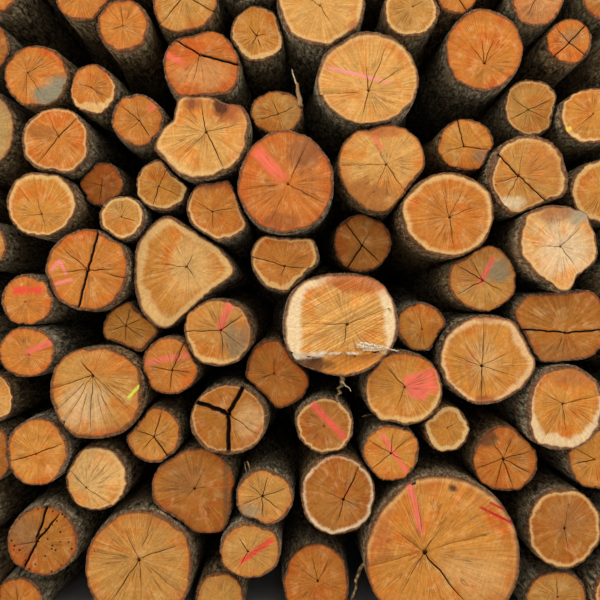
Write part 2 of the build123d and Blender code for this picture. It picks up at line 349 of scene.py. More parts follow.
# %% Bark: furrows and plates
bark_material, add = new_material("alder_bark")
where = add("TexCoord").outputs["Object"]
read = {name: add("Attribute", attribute_name=name).outputs["Fac"] for name in ("age", "moss", "torn")}
lengthwise = add("VectorMath", where, (1.0, 0.22, 1.0), **TIMES)
furrows = add("TexNoise", lengthwise, per_metre(13), 4.0, 0.65, Distortion=1.2)
plates = add("TexVoronoi", lengthwise, per_metre(16), feature="DISTANCE_TO_EDGE")
edges = add("MapRange", plates, 0.0, 0.16, **SOFT_STEP)
broad = add("TexNoise", where, per_metre(140), 3.0, 0.6)
fine = add("TexNoise", where, per_metre(4), 2.0, 0.7)

# The furrows and the edges between plates are darker and the ridges paler. This is partly the bark's own
# colour and partly painted shade and painted highlight.
furrow_tone = add("Mix", read["age"], linear("#46331E"), linear("#4A4234"), **MIXED)
ridge_tone = add("Mix", read["age"], linear("#CAA874"), linear("#DACEAA"), **MIXED)
colour = add("Mix", add("MapRange", furrows, 0.36, 0.66, **SOFT_STEP), furrow_tone, ridge_tone, **MIXED)
between = add("Math", add("Math", 1.0, edges, **MINUS), 0.45, **TIMES)
colour = add("Mix", between, colour, linear("#2F241B"), **MIXED)
# Broad patches of the bark are lighter brown.
lighter_bark_patches = add("Math", add("MapRange", broad, 0.5, 0.7, **SOFT_STEP), 0.5, **TIMES)
colour = add("Mix", lighter_bark_patches, colour, linear("#AC8A62"), **MIXED)

# %% Bark: lichen, moss and torn edges
lichen = add("TexNoise", where, per_metre(40), 4.0, 0.7, Distortion=0.8)
lichen = add("Math", add("MapRange", lichen, 0.60, 0.68, **SOFT_STEP), 0.55, **TIMES)
colour = add("Mix", lichen, colour, linear("#ABAE8C"), **MIXED)
moss = add("TexNoise", where, per_metre(80), 4.0, 0.7)
moss = add("MapRange", add("Math", moss, 0.9, read["moss"], **TIMES_PLUS), 0.95, 1.2, **SOFT_STEP)
moss_tone = add("Mix", fine, linear("#4A5826"), linear("#909A50"), **MIXED)
colour = add("Mix", add("Math", moss, 0.85, **TIMES), colour, moss_tone, **MIXED)
torn = add("Math", furrows, 0.7, read["torn"], **TIMES_PLUS)
torn = add("Math", add("MapRange", torn, 0.75, 1.25, **SOFT_STEP), 0.75, **TIMES)
torn_tone = add("Mix", fine, linear("#4C2412"), linear("#9A5E34"), **MIXED)
colour = add("Mix", torn, colour, torn_tone, **MIXED)
colour = add("Mix", 1.0, colour, add("Math", fine, 0.7, 0.65, **TIMES_PLUS), **TINTED)

relief = add("Math", furrows, 0.7, add("Math", edges, 0.3, **TIMES), **TIMES_PLUS)
relief = add("Math", fine, 0.12, relief, **TIMES_PLUS)
finish_surface(add, colour, 0.92, 0.15, Normal=add("Bump", Height=relief, Strength=1.0, Distance=9 * MM))

# %% [markdown]
# ## Torn wood
# Splinters have no saw marks. They are pale where they tore a short time ago, and brown where they are
# weathered. The attribute `torn` says how weathered a splinter is.

# %% Torn wood material
splinter_material, add = new_material("torn_alder_fibres")
fibres = add("TexNoise", add("TexCoord").outputs["Object"], per_metre(4.5), 3.0)
mottle = add("MapRange", fibres, 0.35, 0.65, **SOFT_STEP)
colour = add("Mix", mottle, linear("#BE9660"), linear("#F2E2C2"), **MIXED)
weathered = add("Mix", fibres, linear("#6E4420"), linear("#CC9650"), **MIXED)
colour = add("Mix", add("Attribute", attribute_name="torn").outputs["Fac"], colour, weathered, **MIXED)
finish_surface(add, colour, 0.85)
made_materials = (wood_material, bark_material, splinter_material)
print("materials:", ", ".join(material.name for material in made_materials))

# %% [markdown]
# ## The pattern log
# Every log has bark round its side and sawn wood at both ends. The pattern is a tube of radius 1 that
# starts as a circle. The circle is extruded along Y to give the bark, and extruded inwards again and again
# to give each end its rings. A cylinder would be quicker to add, but it has no rows of points that a crack
# could follow. The pattern's coordinates only say where a point belongs: radius 1 is the outside of the
# bark, 0.96 is the edge of the wood, and the station along Y is counted from 0.

# %% Model the pattern by hand
AROUND = 96
STATIONS = 20
WOOD_EDGE = 0.96
NEAR_RINGS = [0.985, 0.96, 0.955, 0.92, 0.86, 0.79, 0.71, 0.62, 0.53, 0.44, 0.35, 0.26, 0.17, 0.09, 0.03]
FAR_RINGS = [0.96, 0.955, 0.7, 0.35]
TURN = 2 * math.pi
LINE_STEP = TURN / AROUND


def inset_rings(station, rings):
    """Extrudes the open end at a station inwards, ring by ring, and closes it at the pith."""
    bpy.ops.object.mode_set(mode="OBJECT")
    for point in pattern.data.vertices:
        point.select = abs(point.co.y - station) < 0.01
    bpy.ops.object.mode_set(mode="EDIT")
    before = 1.0
    for ring in rings:
        bpy.ops.mesh.extrude_region_move()
        bpy.ops.transform.resize(value=(ring / before, 1, ring / before), center_override=(0, station, 0))
        before = ring
    bpy.ops.mesh.extrude_region_move()
    bpy.ops.mesh.merge(type="CENTER")


bpy.ops.object.select_all(action="DESELECT")
bpy.ops.mesh.primitive_circle_add(vertices=AROUND, radius=1, fill_type="NOTHING", rotation=(TURN / 4, 0, 0))
pattern = bpy.context.active_object
pattern.name = "pattern_log"
bpy.ops.object.transform_apply(location=True, rotation=True, scale=True)
bpy.ops.object.mode_set(mode="EDIT")
bpy.ops.mesh.select_mode(type="VERT")
bpy.ops.mesh.select_all(action="SELECT")
for _ in range(STATIONS):
    bpy.ops.mesh.extrude_region_move(TRANSFORM_OT_translate={"value": (0, 1, 0)})
inset_rings(0, NEAR_RINGS)
inset_rings(STATIONS, FAR_RINGS)
bpy.ops.mesh.select_all(action="SELECT")
bpy.ops.mesh.normals_make_consistent(inside=False)
bpy.ops.object.mode_set(mode="OBJECT")
print("pattern log:", len(pattern.data.vertices), "points,", len(pattern.data.polygons), "faces")

# %% [markdown]
# ## What the pattern's points belong to
# Each point is known by its radius, by its line, which is its number round the log, and by its station.
# Each face belongs to the near end, the side or the far end, which decides its place in the texture. A face
# is wood when all its corners lie inside the bark.

# %% Read the pattern's numbers
NEAR_END, SIDE, FAR_END = 0, 1, 2
CLOSE = 0.001
points = np.array([point.co[:] for point in pattern.data.vertices])
pattern_radius = np.hypot(points[:, 0], points[:, 2])
pattern_line = np.round(np.arctan2(points[:, 2], points[:, 0]) / LINE_STEP).astype(int) % AROUND
pattern_station = np.round(points[:, 1]).astype(int)
is_side = pattern_radius > 0.995
is_near = (pattern_station == 0) & ~is_side
is_far = (pattern_station == STATIONS) & ~is_side


def end_or_side(corners):
    """Whether a face belongs to the near end, the side or the far end."""
    stations = {int(pattern_station[corner]) for corner in corners}
    return {(0,): NEAR_END, (STATIONS,): FAR_END}.get(tuple(stations), SIDE)


def turns_of(corners):
    """The line of each corner. Line 0 counts as the last one more where a face closes the circle."""
    turns = [int(pattern_line[corner]) for corner in corners]
    if max(turns) - min(turns) > AROUND // 2:
        turns = [turn + AROUND if turn == 0 else turn for turn in turns]
    return turns


# %% Sort the pattern's faces
pattern.data.materials.append(wood_material)
pattern.data.materials.append(bark_material)
face_kinds = []
face_corners = []
corner_kind = []
corner_turn = []
for face in pattern.data.polygons:
    corners = list(face.vertices)
    face_kinds.append(end_or_side(corners))
    face_corners += corners
    corner_kind += face_kinds[-1:] * len(corners)
    corner_turn += turns_of(corners)
    face.material_index = int(any(pattern_radius[corner] >= WOOD_EDGE + CLOSE for corner in corners))
    face.use_smooth = True
face_corners = np.array(face_corners)
corner_kind = np.array(corner_kind)
corner_turn = np.array(corner_turn)
pattern.data.attributes.new("side_kind", "INT", "FACE").data.foreach_set("value", face_kinds)
print("faces of the two ends:", len(face_kinds) - face_kinds.count(SIDE))

# %% [markdown]
# ## What each log looks like
# The looks of the logs that the photograph shows are written here, log by log, because each of them is
# recognised by its own cracks, sapwood and paint. A look is found by the place where the log's end is
# seen, as x and height on the measuring plane. Lengths are in millimetres from the middle of the end, and
# angles are in degrees, from +X towards +Z.
# - `pith` is where the pith lies. `bark` makes the bark thicker. `moss` and `holes` go from 0 to 1.
# - `shape` has bumps of the outline as (angle, height, how many degrees wide).
# - A crack is (angle of its outer end, from, to, width). It starts and stops at a share of the way from
#   the pith to the bark.
# - `sap` is how wide the sapwood is, as a share of that way, or a list of (angle, width).
#   `edge` is the sapwood's colour.
# - A patch is (x, z, half width, half height, colour, strength). A log has three at most.
# - A stroke is (x, z, x, z, width), and the log's paint entry is its (colour, strength), or a list with one
#   for each stroke. Strokes are spray paint, except one dark brown stroke of painted shade. A log has three
#   strokes at most.
# - `saw` is (angle, strength) of the saw marks. `ragged` is (height, how deep) of the torn step.

# %% Tones of the wood
TONES = {
    "golden": "#CC8430",
    "orange": "#C87828",
    "deep": "#B26016",
    "red": "#C66E24",
    "tan": "#C4883C",
    "pale": "#D89A4C",
    "dull": "#AE6A22",
    "brown": "#AC681C",
    "pink": "#C67E42",
    "cream": "#DCA866",
}
SAPWOOD = "#E6B872"
SALMON = "#EE6A50"
PINK = "#F07C78"
RED = "#E4402F"

# %% Looks of the logs
LOOKS = {
    (-870, 1810): dict(tone="orange", moss=0.3),
    (-610, 1785): dict(tone="orange"),
    (-495, 1695): dict(
        tone="orange", edge="#8A4420", sap=0.05, cracks=[(200, 0, 0.6, 2), (95, 0, 0.7, 1.5)],
    ),
    (-325, 1760): dict(
        tone="tan", pith=(0, 14), cracks=[(-20, 0, 1, 3.5), (225, 0, 0.95, 3.5), (90, 0, 0.5, 2)],
    ),
    (-740, 1550): dict(
        tone="orange", pith=(-25, 10), moss=0.5,
        cracks=[(250, 0, 0.8, 1.5), (290, 0, 0.7, 1.5), (40, 0, 0.5, 1.5)],
        patches=[(58, -56, 66, 58, "#87866C", 1.0)],
    ),
    (-580, 1515): dict(
        tone="orange", pith=(-5, 5),
        sap=[(200, 0.05), (225, 0.2), (260, 0.4), (300, 0.34), (340, 0.12), (20, 0.08), (60, 0)], moss=0.3,
        cracks=[(-35, 0, 0.6, 2), (160, 0, 0.6, 1.5)],
    ),
    (-455, 1430): dict(
        tone="orange", cracks=[(140, 0, 0.9, 2.5), (-55, 0, 0.85, 3), (-130, 0, 0.5, 1.5)],
        strokes=[(28, 20, 55, 50, 22)], paint_and_shade=(SALMON, 0.6),
    ),
    (-685, 1370): dict(
        tone="orange", pith=(10, 10), sap=0.07,
        cracks=[(45, 0, 0.98, 4), (232, 0, 0.9, 3.5), (110, 0, 0.5, 2)],
        patches=[(-35, 22, 52, 26, "#9A5A22", 0.7)],
    ),
    (-910, 1405): dict(tone="tan", patches=[(70, 0, 40, 110, "#9C9060", 0.5)]),
    (-725, 1195): dict(
        tone="golden", pith=(0, -25),
        sap=[(0, 0.12), (60, 0.15), (120, 0.12), (200, 0.08), (250, 0.13), (300, 0.1)],
        cracks=[(282, 0, 0.6, 1.5), (110, 0, 0.4, 1.5), (200, 0, 0.5, 1.5)],
    ),
    (-555, 1250): dict(tone="deep", cracks=[(262, 0, 0.9, 2.5), (80, 0, 0.4, 2), (170, 0, 0.4, 1.5)]),
    (-385, 1250): dict(
        tone="golden", pith=(-6, -6), sap=[(0, 0.13), (90, 0.06), (180, 0.08), (250, 0.14), (310, 0.15)],
        cracks=[(68, 0, 1, 2), (250, 0, 0.95, 3), (330, 0, 0.9, 1.5)],
    ),
    # The two small dark patches near the top are knots in hollows. Their colour is partly the knots' own and
    # partly painted shade in the hollows.
    (-270, 1380): dict(
        tone="pale", pith=(8, 14),
        shape=[(38, 9, 9), (118, 8, 10), (150, -9, 10), (193, 10, 8), (0, -5, 12)],
        sap=[(0, 0.03), (180, 0.1), (230, 0.16), (290, 0.12), (330, 0.05)],
        cracks=[(95, 0, 0.8, 3), (303, 0, 0.95, 3.5), (225, 0, 0.6, 1.5), (18, 0, 0.8, 1.5)],
        patches=[(66, 76, 66, 50, "#A85426", 1.0), (-28, 92, 30, 30, "#7A3A1C", 1.0),
            (46, 84, 28, 34, "#43200F", 1.0)],
    ),
    (-275, 1575): dict(
        tone="red", pith=(-5, 28), cracks=[(136, 0, 1, 6), (0, 0, 1, 9), (250, 0, 0.6, 2)],
        patches=[(0, -30, 90, 45, "#DE9C5A", 0.7)], strokes=[(-100, 30, -48, 0, 24)], paint_and_shade=(SALMON, 0.75),
    ),
    (-120, 1670): dict(
        tone="golden", sap=[(90, 0.03), (170, 0.06), (230, 0.22), (280, 0.26), (330, 0.16), (20, 0.06)],
        cracks=[(130, 0, 0.4, 3), (290, 0.1, 0.5, 3), (5, 0, 0.35, 2.5), (250, 0, 0.4, 2.5),
            (60, 0, 0.3, 2)],
    ),
    (60, 1750): dict(
        tone="pale", sap=0.1, cracks=[(300, 0, 0.5, 2), (150, 0, 0.6, 2)],
        patches=[(95, -60, 24, 24, "#B25A2E", 0.8)],
    ),
    (190, 1545): dict(
        tone="pale", pith=(3, -36), sap=0.06,
        cracks=[(98, 0, 0.35, 3), (262, 0, 0.7, 2.5), (60, 0, 0.9, 2), (20, 0.2, 0.9, 1.5),
            (200, 0.2, 0.9, 1.5)], strokes=[(-118, 31, 64, -14, 12)], paint_and_shade=("#F28C86", 0.95),
    ),
    (-65, 1450): dict(
        tone="tan", cracks=[(200, 0, 0.8, 2), (20, 0, 0.7, 2), (110, 0, 0.7, 1.5)],
        patches=[(50, 10, 30, 50, "#B87A40", 0.5)],
    ),
    (-40, 1255): dict(
        tone="red",
        cracks=[(330, 0, 0.9, 2), (60, 0.1, 0.9, 2), (250, 0.3, 0.9, 1.5), (190, 0.2, 0.8, 1.5)],
        patches=[(62, 76, 62, 60, "#8A5430", 0.8), (-20, -110, 70, 26, "#8C4A22", 0.5)],
        strokes=[(-84, 92, -2, 0, 44)], paint_and_shade=(SALMON, 0.85),
    ),
    (230, 1300): dict(
        tone="pale", pith=(14, 14),
        cracks=[(176, 0, 0.95, 1.5), (316, 0, 0.9, 2.5), (110, 0, 0.5, 1.5), (250, 0, 0.5, 1.5)],
        patches=[(-52, -74, 120, 58, "#B26A2A", 1.0), (0, 104, 70, 20, "#B8602C", 0.8)],
        strokes=[(-20, 95, 2, 50, 18)], paint_and_shade=(SALMON, 0.7),
    ),
    (-225, 1180): dict(
        tone="orange", sap=[(180, 0.1), (240, 0.16), (300, 0.12), (0, 0.06), (90, 0)],
        cracks=[(150, 0, 0.6, 1.5), (10, 0, 0.8, 1.5), (270, 0, 0.5, 1.5)],
        patches=[(0, 78, 74, 22, "#A04E1C", 0.8)],
    ),
    (310, 1740): dict(tone="tan", sap=0.12, cracks=[(30, 0, 0.5, 1.5)]),
    (435, 1790): dict(tone="orange", cracks=[(300, 0, 1, 4)]),
    (515, 1625): dict(
        tone="orange", pith=(0, -40),
        cracks=[(100, 0, 0.4, 3), (60, 0, 0.5, 2.5), (140, 0, 0.5, 2), (30, 0.1, 0.4, 2)],
    ),
    (665, 1770): dict(tone="pink", cracks=[(240, 0, 0.7, 2)]),
    (755, 1650): dict(
        tone="orange", cracks=[(45, 0, 1, 4), (135, 0, 0.95, 3.5), (225, 0, 1, 4), (318, 0, 1, 4)],
        patches=[(0, 10, 40, 30, "#6E6250", 0.4)],
    ),
    (870, 1790): dict(tone="dull", moss=0.5),
    (650, 1465): dict(
        tone="tan", pith=(-3, -6), sap=0.07,
        cracks=[(20, 0, 0.8, 2), (150, 0, 0.8, 2), (212, 0, 0.9, 2), (330, 0, 0.8, 2)],
    ),
    (465, 1360): dict(
        tone="golden", pith=(-4, -6), cracks=[(108, 0, 1, 4), (348, 0, 0.95, 3.5), (200, 0, 0.7, 1.5)],
        patches=[(46, -32, 34, 24, "#94785A", 0.8)],
    ),
    (820, 1440): dict(
        tone="golden", edge="#EDC27C", sap=[(0, 0.05), (90, 0.03), (180, 0.09), (230, 0.13), (290, 0.11)],
        cracks=[(220, 0, 0.5, 2)], strokes=[(-76, -40, -60, -34, 14)], paint_and_shade=("#EFD23C", 0.9),
    ),
    (640, 1270): dict(
        tone="tan", pith=(-28, -11), bark=1.7,
        sap=[(0, 0.1), (60, 0.12), (120, 0.12), (180, 0.08), (240, 0.05), (300, 0.06)],
        cracks=[(150, 0, 1, 6), (301, 0, 1, 5), (95, 0, 0.6, 1.5), (200, 0, 0.8, 2), (235, 0, 0.8, 2)],
        patches=[(-50, -86, 44, 22, "#F2D8AA", 0.8), (36, 24, 60, 70, "#C8762E", 0.8)],
    ),
    (850, 1230): dict(tone="golden", sap=0.16),
    (415, 1165): dict(
        tone="orange", sap=0.12,
        cracks=[(280, 0, 0.8, 2.5), (100, 0, 0.5, 2), (60, 0, 0.7, 1.5), (20, 0, 0.6, 1.5)],
    ),
    (-890, 1080): dict(tone="tan"),
    (-595, 1010): dict(
        tone="orange",
        cracks=[(73, 0, 1, 9), (257, 0, 1, 9), (0, 0, 0.65, 3), (138, 0, 0.85, 2.5), (-12, 0.55, 1, 2.5),
            (186, 0, 0.6, 2)],
        strokes=[(-102, -4, -74, 28, 11), (-76, 28, -56, -14, 11), (-90, -40, -38, -26, 11)],
        paint_and_shade=(PINK, 0.95),
    ),
    (-500, 1155): dict(tone="tan", sap=0.14, cracks=[(345, 0, 0.7, 2), (60, 0, 0.4, 1.5)]),
    (-340, 1000): dict(
        tone="golden", pith=(6, 8), sap=0.17,
        cracks=[(60, 0, 0.4, 2), (172, 0, 0.5, 1.5), (310, 0, 0.45, 2)],
        patches=[(14, 8, 80, 100, "#E4B26C", 0.8)],
    ),
    (-765, 925): dict(tone="orange", pith=(-6, -8), strokes=[(-44, 22, 48, 26, 30)], paint_and_shade=(RED, 0.9)),
    (-765, 780): dict(tone="orange", strokes=[(-4, -4, 72, 32, 24)], paint_and_shade=("#EE6A58", 0.9)),
    (-475, 845): dict(
        tone="golden",
        cracks=[(20, 0, 0.8, 2), (80, 0, 0.8, 2), (140, 0, 0.8, 2), (200, 0, 0.7, 2), (265, 0, 0.8, 2),
            (320, 0, 0.7, 2)],
    ),
    (-570, 665): dict(
        tone="tan", pith=(-11, 48), bark=1.3, shape=[(95, -5, 16), (200, -5, 14), (245, 5, 8)],
        cracks=[(262, 0, 0.9, 2.5), (176, 0, 0.9, 2), (225, 0, 0.9, 1.5), (300, 0, 0.9, 1.5),
            (330, 0, 0.8, 1.5), (205, 0.2, 0.9, 1.5), (285, 0.3, 0.9, 1.5), (245, 0.3, 0.95, 1.5),
            (120, 0, 0.6, 4)],
        patches=[(24, 72, 66, 36, "#C67A30", 0.9), (30, -116, 60, 18, "#C0622A", 0.9),
            (-30, -40, 80, 70, "#DDB27C", 0.8)], strokes=[(86, -18, 122, 22, 11)], paint_and_shade=("#D5DC4C", 0.9),
    ),
    (-365, 740): dict(
        tone="orange", pith=(6, -12),
        cracks=[(58, 0, 1, 3), (268, 0, 0.9, 2.5), (180, 0, 0.8, 2.5), (-15, 0, 0.7, 2)],
        strokes=[(-72, 8, 56, 32, 24)], paint_and_shade=("#F0745C", 0.75),
    ),
    (-230, 835): dict(
        tone="tan", pith=(8, 8), sap=[(150, 0.03), (200, 0.1), (250, 0.16), (300, 0.12), (340, 0.04)],
        cracks=[(178, 0, 1, 2.5), (35, 0, 0.95, 3), (280, 0, 0.7, 2), (330, 0, 0.7, 1.5)],
        patches=[(56, -22, 54, 60, "#8A7150", 0.9), (-50, 30, 50, 60, "#D08A3C", 0.6)],
        strokes=[(2, 4, 36, 88, 30)], paint_and_shade=(SALMON, 0.9),
    ),
    (-860, 650): dict(tone="pale", sap=0.1),
    (-40, 1040): dict(
        tone="orange", sap=[(0, 0.12), (90, 0.08), (180, 0.08), (230, 0.2), (280, 0.3), (330, 0.2)],
        cracks=[(165, 0, 1, 2.5), (352, 0, 0.85, 2), (250, 0, 0.4, 1.5)],
    ),
    (175, 1085): dict(
        tone="dull", pith=(-2, -6),
        cracks=[(130, 0, 1, 4), (238, 0, 1, 5), (312, 0, 0.95, 3.5), (60, 0, 0.5, 2)],
    ),
    # The dark brown patch at the lower left, just under the torn step, is a painted shadow below the ledge.
    (115, 855): dict(
        tone="pale", pith=(17, 3), edge="#F4D8A6",
        sap=[(0, 0.24), (40, 0.2), (90, 0.08), (140, 0.16), (180, 0.26), (205, 0.22), (225, 0.04),
            (262, 0), (285, 0.06), (310, 0.09), (335, 0.12)], saw=(118, 1.9),
        cracks=[(266, 0, 0.42, 2.5), (20, 0, 0.75, 1.5), (180, 0, 0.45, 1.5)],
        patches=[(60, 120, 120, 44, "#C0601F", 1.0), (40, -104, 130, 46, "#D6852C", 1.0),
            (-82, -104, 74, 26, "#4A2810", 1.0)],
        strokes=[(-156, -88, -36, -78, 22), (-40, -78, 50, -74, 9)], paint_and_shade=("#F2DFC0", 1.0),
        ragged=(-76, 30),
    ),
    (-60, 720): dict(tone="orange", cracks=[(200, 0, 0.5, 1.5), (90, 0, 0.5, 1.5)]),
    (510, 985): dict(
        tone="tan", pith=(3, -3),
        cracks=[(150, 0, 0.95, 3), (212, 0, 0.9, 2.5), (330, 0, 0.7, 2), (120, 0, 0.9, 2)],
        patches=[(44, 24, 44, 40, "#8F8468", 0.85), (-45, 10, 40, 50, "#C87430", 0.6)],
        strokes=[(-8, -16, 34, 64, 20)], paint_and_shade=("#F0604A", 0.95),
    ),
    (720, 1085): dict(
        tone="cream", shape=[(-83, 11, 12), (-28, 7, 14), (47, 9, 9), (138, 7, 10), (90, -4, 14)],
        sap=[(0, 0.06), (90, 0.02), (150, 0.06), (200, 0.12), (270, 0.1)],
        cracks=[(40, 0, 0.7, 1.5), (308, 0, 0.7, 2), (180, 0, 0.5, 1.5)],
        patches=[(54, 84, 50, 34, "#9C9478", 0.9), (-10, 84, 52, 26, "#B06A34", 0.9),
            (4, -16, 84, 84, "#EBCBA0", 0.7)],
    ),
    (340, 850): dict(tone="golden", edge="#9A5A2C", sap=0.05, cracks=[(100, 0, 0.5, 1.5)]),
    (525, 760): dict(
        tone="golden", pith=(-17, -17), edge="#ECC084",
        sap=[(0, 0.14), (45, 0.18), (90, 0.12), (180, 0.1), (270, 0.08), (320, 0.15)],
        cracks=[(95, 0, 0.9, 2.5), (262, 0, 0.95, 3), (170, 0, 0.7, 1.5), (20, 0, 0.6, 1.5),
            (330, 0, 0.6, 1.5), (140, 0, 0.6, 1.5)],
        patches=[(-12, 0, 56, 56, "#E8B878", 0.5), (0, -116, 44, 18, "#A8501C", 0.9),
            (0, 118, 60, 16, "#B4602C", 0.7)],
    ),
    (730, 860): dict(
        tone="brown", pith=(0, -17), cracks=[(184, 0, 1, 6), (356, 0, 1, 6), (250, 0.2, 0.7, 2)],
        patches=[(-20, -80, 90, 40, "#9A6430", 0.7)],
    ),
    (745, 625): dict(
        tone="golden", pith=(-10, 14), bark=1.4, edge="#EACB98",
        sap=[(150, 0.04), (185, 0.1), (215, 0.24), (245, 0.26), (275, 0.24), (310, 0.22), (345, 0.12),
            (30, 0.03), (90, 0)], cracks=[(272, 0, 0.6, 2), (20, 0, 0.9, 2), (150, 0, 0.5, 1.5)],
        patches=[(10, 84, 80, 30, "#B86A30", 0.8)],
    ),
    (290, 675): dict(
        tone="golden", sap=[(170, 0.03), (215, 0.1), (270, 0.2), (320, 0.16), (0, 0.06), (60, 0)],
        cracks=[(130, 0, 0.7, 2.5), (250, 0, 0.6, 1.5)],
        strokes=[(0, 14, 96, 42, 44), (6, 6, 98, 8, 48), (14, -4, 66, -24, 42)], paint_and_shade=("#F66C58", 0.88),
    ),
    (835, 480): dict(tone="golden", cracks=[(190, 0, 0.95, 3.5), (150, 0, 0.9, 2)]),
    (-735, 500): dict(tone="golden", pith=(-6, -8), cracks=[(200, 0, 0.98, 3), (18, 0, 0.95, 3)]),
    (-880, 495): dict(tone="brown"),
    (-570, 425): dict(
        tone="pale", pith=(-30, -28), sap=[(0, 0.14), (60, 0.1), (120, 0.05), (200, 0.03), (300, 0.1)],
        cracks=[(165, 0, 0.9, 2), (300, 0, 0.9, 2)], patches=[(0, 10, 90, 80, "#E8BC78", 0.6)],
    ),
    (-410, 550): dict(
        tone="golden", edge="#C87A34", sap=0.08,
        cracks=[(72, 0, 0.95, 3), (166, 0, 0.95, 3), (300, 0, 1, 5), (232, 0, 0.7, 2), (20, 0, 0.5, 1.5)],
    ),
    (-720, 250): dict(
        tone="brown", pith=(-17, 0), holes=1.0,
        cracks=[(83, 0, 1, 9), (235, 0, 1, 8), (58, 0, 0.98, 7), (190, 0, 0.6, 2)],
        patches=[(-50, 10, 45, 70, "#7A5A38", 0.6)],
    ),
    (-450, 170): dict(
        tone="tan", pith=(0, 30),
        cracks=[(232, 0, 0.8, 2.5), (30, 0.05, 0.8, 2.5), (110, 0, 0.6, 2), (275, 0, 0.6, 2),
            (160, 0.2, 0.8, 1.5), (75, 0.3, 0.9, 1.5), (330, 0.2, 0.9, 1.5)],
    ),
    (-790, 67): dict(tone="orange", cracks=[(100, 0, 0.8, 2)]),
    # The dark brown stroke down the right edge of this end is painted shade on its flat side, not paint.
    (-295, 390): dict(
        tone="brown", shape=[(-52, 8, 10), (-12, -4, 14), (60, 4, 14), (220, 5, 16)],
        cracks=[(230, 0, 0.3, 1.5), (60, 0, 0.4, 1.5), (10, 0, 0.3, 1.5)],
        patches=[(-20, 30, 70, 60, "#A06A38", 0.5)], strokes=[(94, 96, 94, -112, 22)],
        paint_and_shade=("#6E4A24", 0.8),
    ),
    (-200, 590): dict(
        tone="brown", pith=(0, 15), sap=0.05,
        cracks=[(152, 0, 1, 15), (66, 0, 1, 15), (270, 0, 1, 15), (330, 0.1, 0.9, 2.5)],
        patches=[(60, -10, 44, 60, "#E4B072", 0.7)],
    ),
    (-100, 370): dict(
        tone="tan", moss=0.35,
        cracks=[(20, 0, 0.8, 2.5), (80, 0, 0.8, 2.5), (140, 0, 0.8, 2), (200, 0, 0.8, 2),
            (265, 0, 0.8, 2.5), (320, 0, 0.8, 2.5)], patches=[(-40, -40, 36, 30, "#8C8468", 0.7)],
    ),
    (70, 575): dict(tone="dull", sap=0.1, strokes=[(-42, 66, 60, -42, 26)], paint_and_shade=("#F0584A", 0.8)),
    (255, 500): dict(
        tone="golden", pith=(0, 0),
        cracks=[(40, 0, 0.9, 2), (150, 0, 0.9, 2), (220, 0, 0.9, 2), (330, 0, 0.5, 2), (85, 0, 0.8, 2)],
        strokes=[(-28, 56, 50, -60, 17)], paint_and_shade=("#F06A54", 0.9),
    ),
    (410, 565): dict(tone="golden", edge="#EBC27E", sap=0.22, cracks=[(30, 0, 0.6, 1.5)]),
    (105, 380): dict(
        tone="brown", pith=(17, -14), edge="#EED2A2",
        sap=[(0, 0.1), (90, 0.05), (180, 0.06), (240, 0.1), (300, 0.14)],
        cracks=[(52, 0, 0.95, 4), (265, 0, 0.6, 2), (330, 0, 0.6, 1.5), (160, 0, 0.4, 1.5)],
        patches=[(6, -40, 70, 56, "#C07C38", 0.5)],
    ),
    (-140, 225): dict(
        tone="tan", cracks=[(130, 0, 0.6, 3), (240, 0, 0.6, 2)], strokes=[(-30, -36, 66, 34, 22)],
        paint_and_shade=(RED, 0.9),
    ),
    (45, 110): dict(tone="orange", cracks=[(100, 0, 0.7, 1.5), (60, 0, 0.7, 1.5), (140, 0, 0.7, 1.5)]),
    (-225, 75): dict(tone="tan"),
    (575, 480): dict(
        tone="orange",
        cracks=[(15, 0, 0.95, 3), (70, 0, 0.8, 2), (125, 0, 0.8, 2), (200, 0, 0.95, 2.5),
            (250, 0, 0.95, 2.5), (285, 0, 0.95, 3), (330, 0, 0.95, 2.5)],
        patches=[(-50, 52, 40, 26, "#3A2A1C", 0.8)],
    ),
    (400, 220): dict(
        tone="golden", pith=(-50, 8), sap=[(100, 0.05), (140, 0.08), (170, 0.06), (200, 0)],
        cracks=[(300, 0, 0.7, 5), (62, 0, 0.25, 3), (228, 0, 0.6, 2), (150, 0, 0.5, 1.5),
            (20, 0.1, 0.6, 1.5), (190, 0.2, 0.9, 1.5), (110, 0.3, 0.9, 1.5)],
        patches=[(90, -60, 110, 70, "#DDAA68", 0.6), (30, 182, 18, 14, "#2A1810", 1.0),
            (-170, 60, 40, 80, "#B8602C", 0.6)],
        strokes=[(-94, 204, -56, 56, 24), (100, 132, 198, 84, 10), (130, 144, 180, 118, 10)],
        paint_and_shade=[("#F0685A", 0.8), ("#B4121C", 1.0), ("#B4121C", 1.0)],
    ),
    (740, 285): dict(
        tone="brown", sap=0.1, cracks=[(280, 0, 0.5, 2), (80, 0, 0.5, 1.5)],
        patches=[(10, 30, 70, 60, "#B0703A", 0.7)],
    ),
    (720, 75): dict(tone="tan", cracks=[(90, 0, 0.7, 2)]),
    (-890, 1635): dict(tone="dull", moss=0.4),
}

# %% A look for a log that the photograph doesn't show
PLAIN_TONES = ["golden", "orange", "tan", "brown", "deep", "golden"]


def plain_look(rng):
    """Three cracks, a common tone and at most a narrow ring of sapwood."""
    angles = rng.uniform(0, 360) + np.arange(3) * 120 + rng.uniform(-35, 35, 3)
    cracks = [(float(angle), 0, float(rng.uniform(0.5, 1)), float(rng.uniform(1.5, 3.5))) for angle in angles]
    tone = PLAIN_TONES[int(rng.integers(len(PLAIN_TONES)))]
    return dict(tone=tone, cracks=cracks, sap=float(rng.choice([0, 0.08, 0.12])))


print("looks:", len(LOOKS), "seen logs; the others get a plain one")

# %% [markdown]
# ## Reading the stack's logs
# A course of the frame is one object with several logs in it. Each log is found as an island of joined
# faces. Rays shot at its side from outside give its outline behind the cracks and at the far end, and
# the outline of the sawn end follows from the two, because the sides are straight.

# %% Find the logs of a course
JOIN_DISTANCE = 0.02 * MM


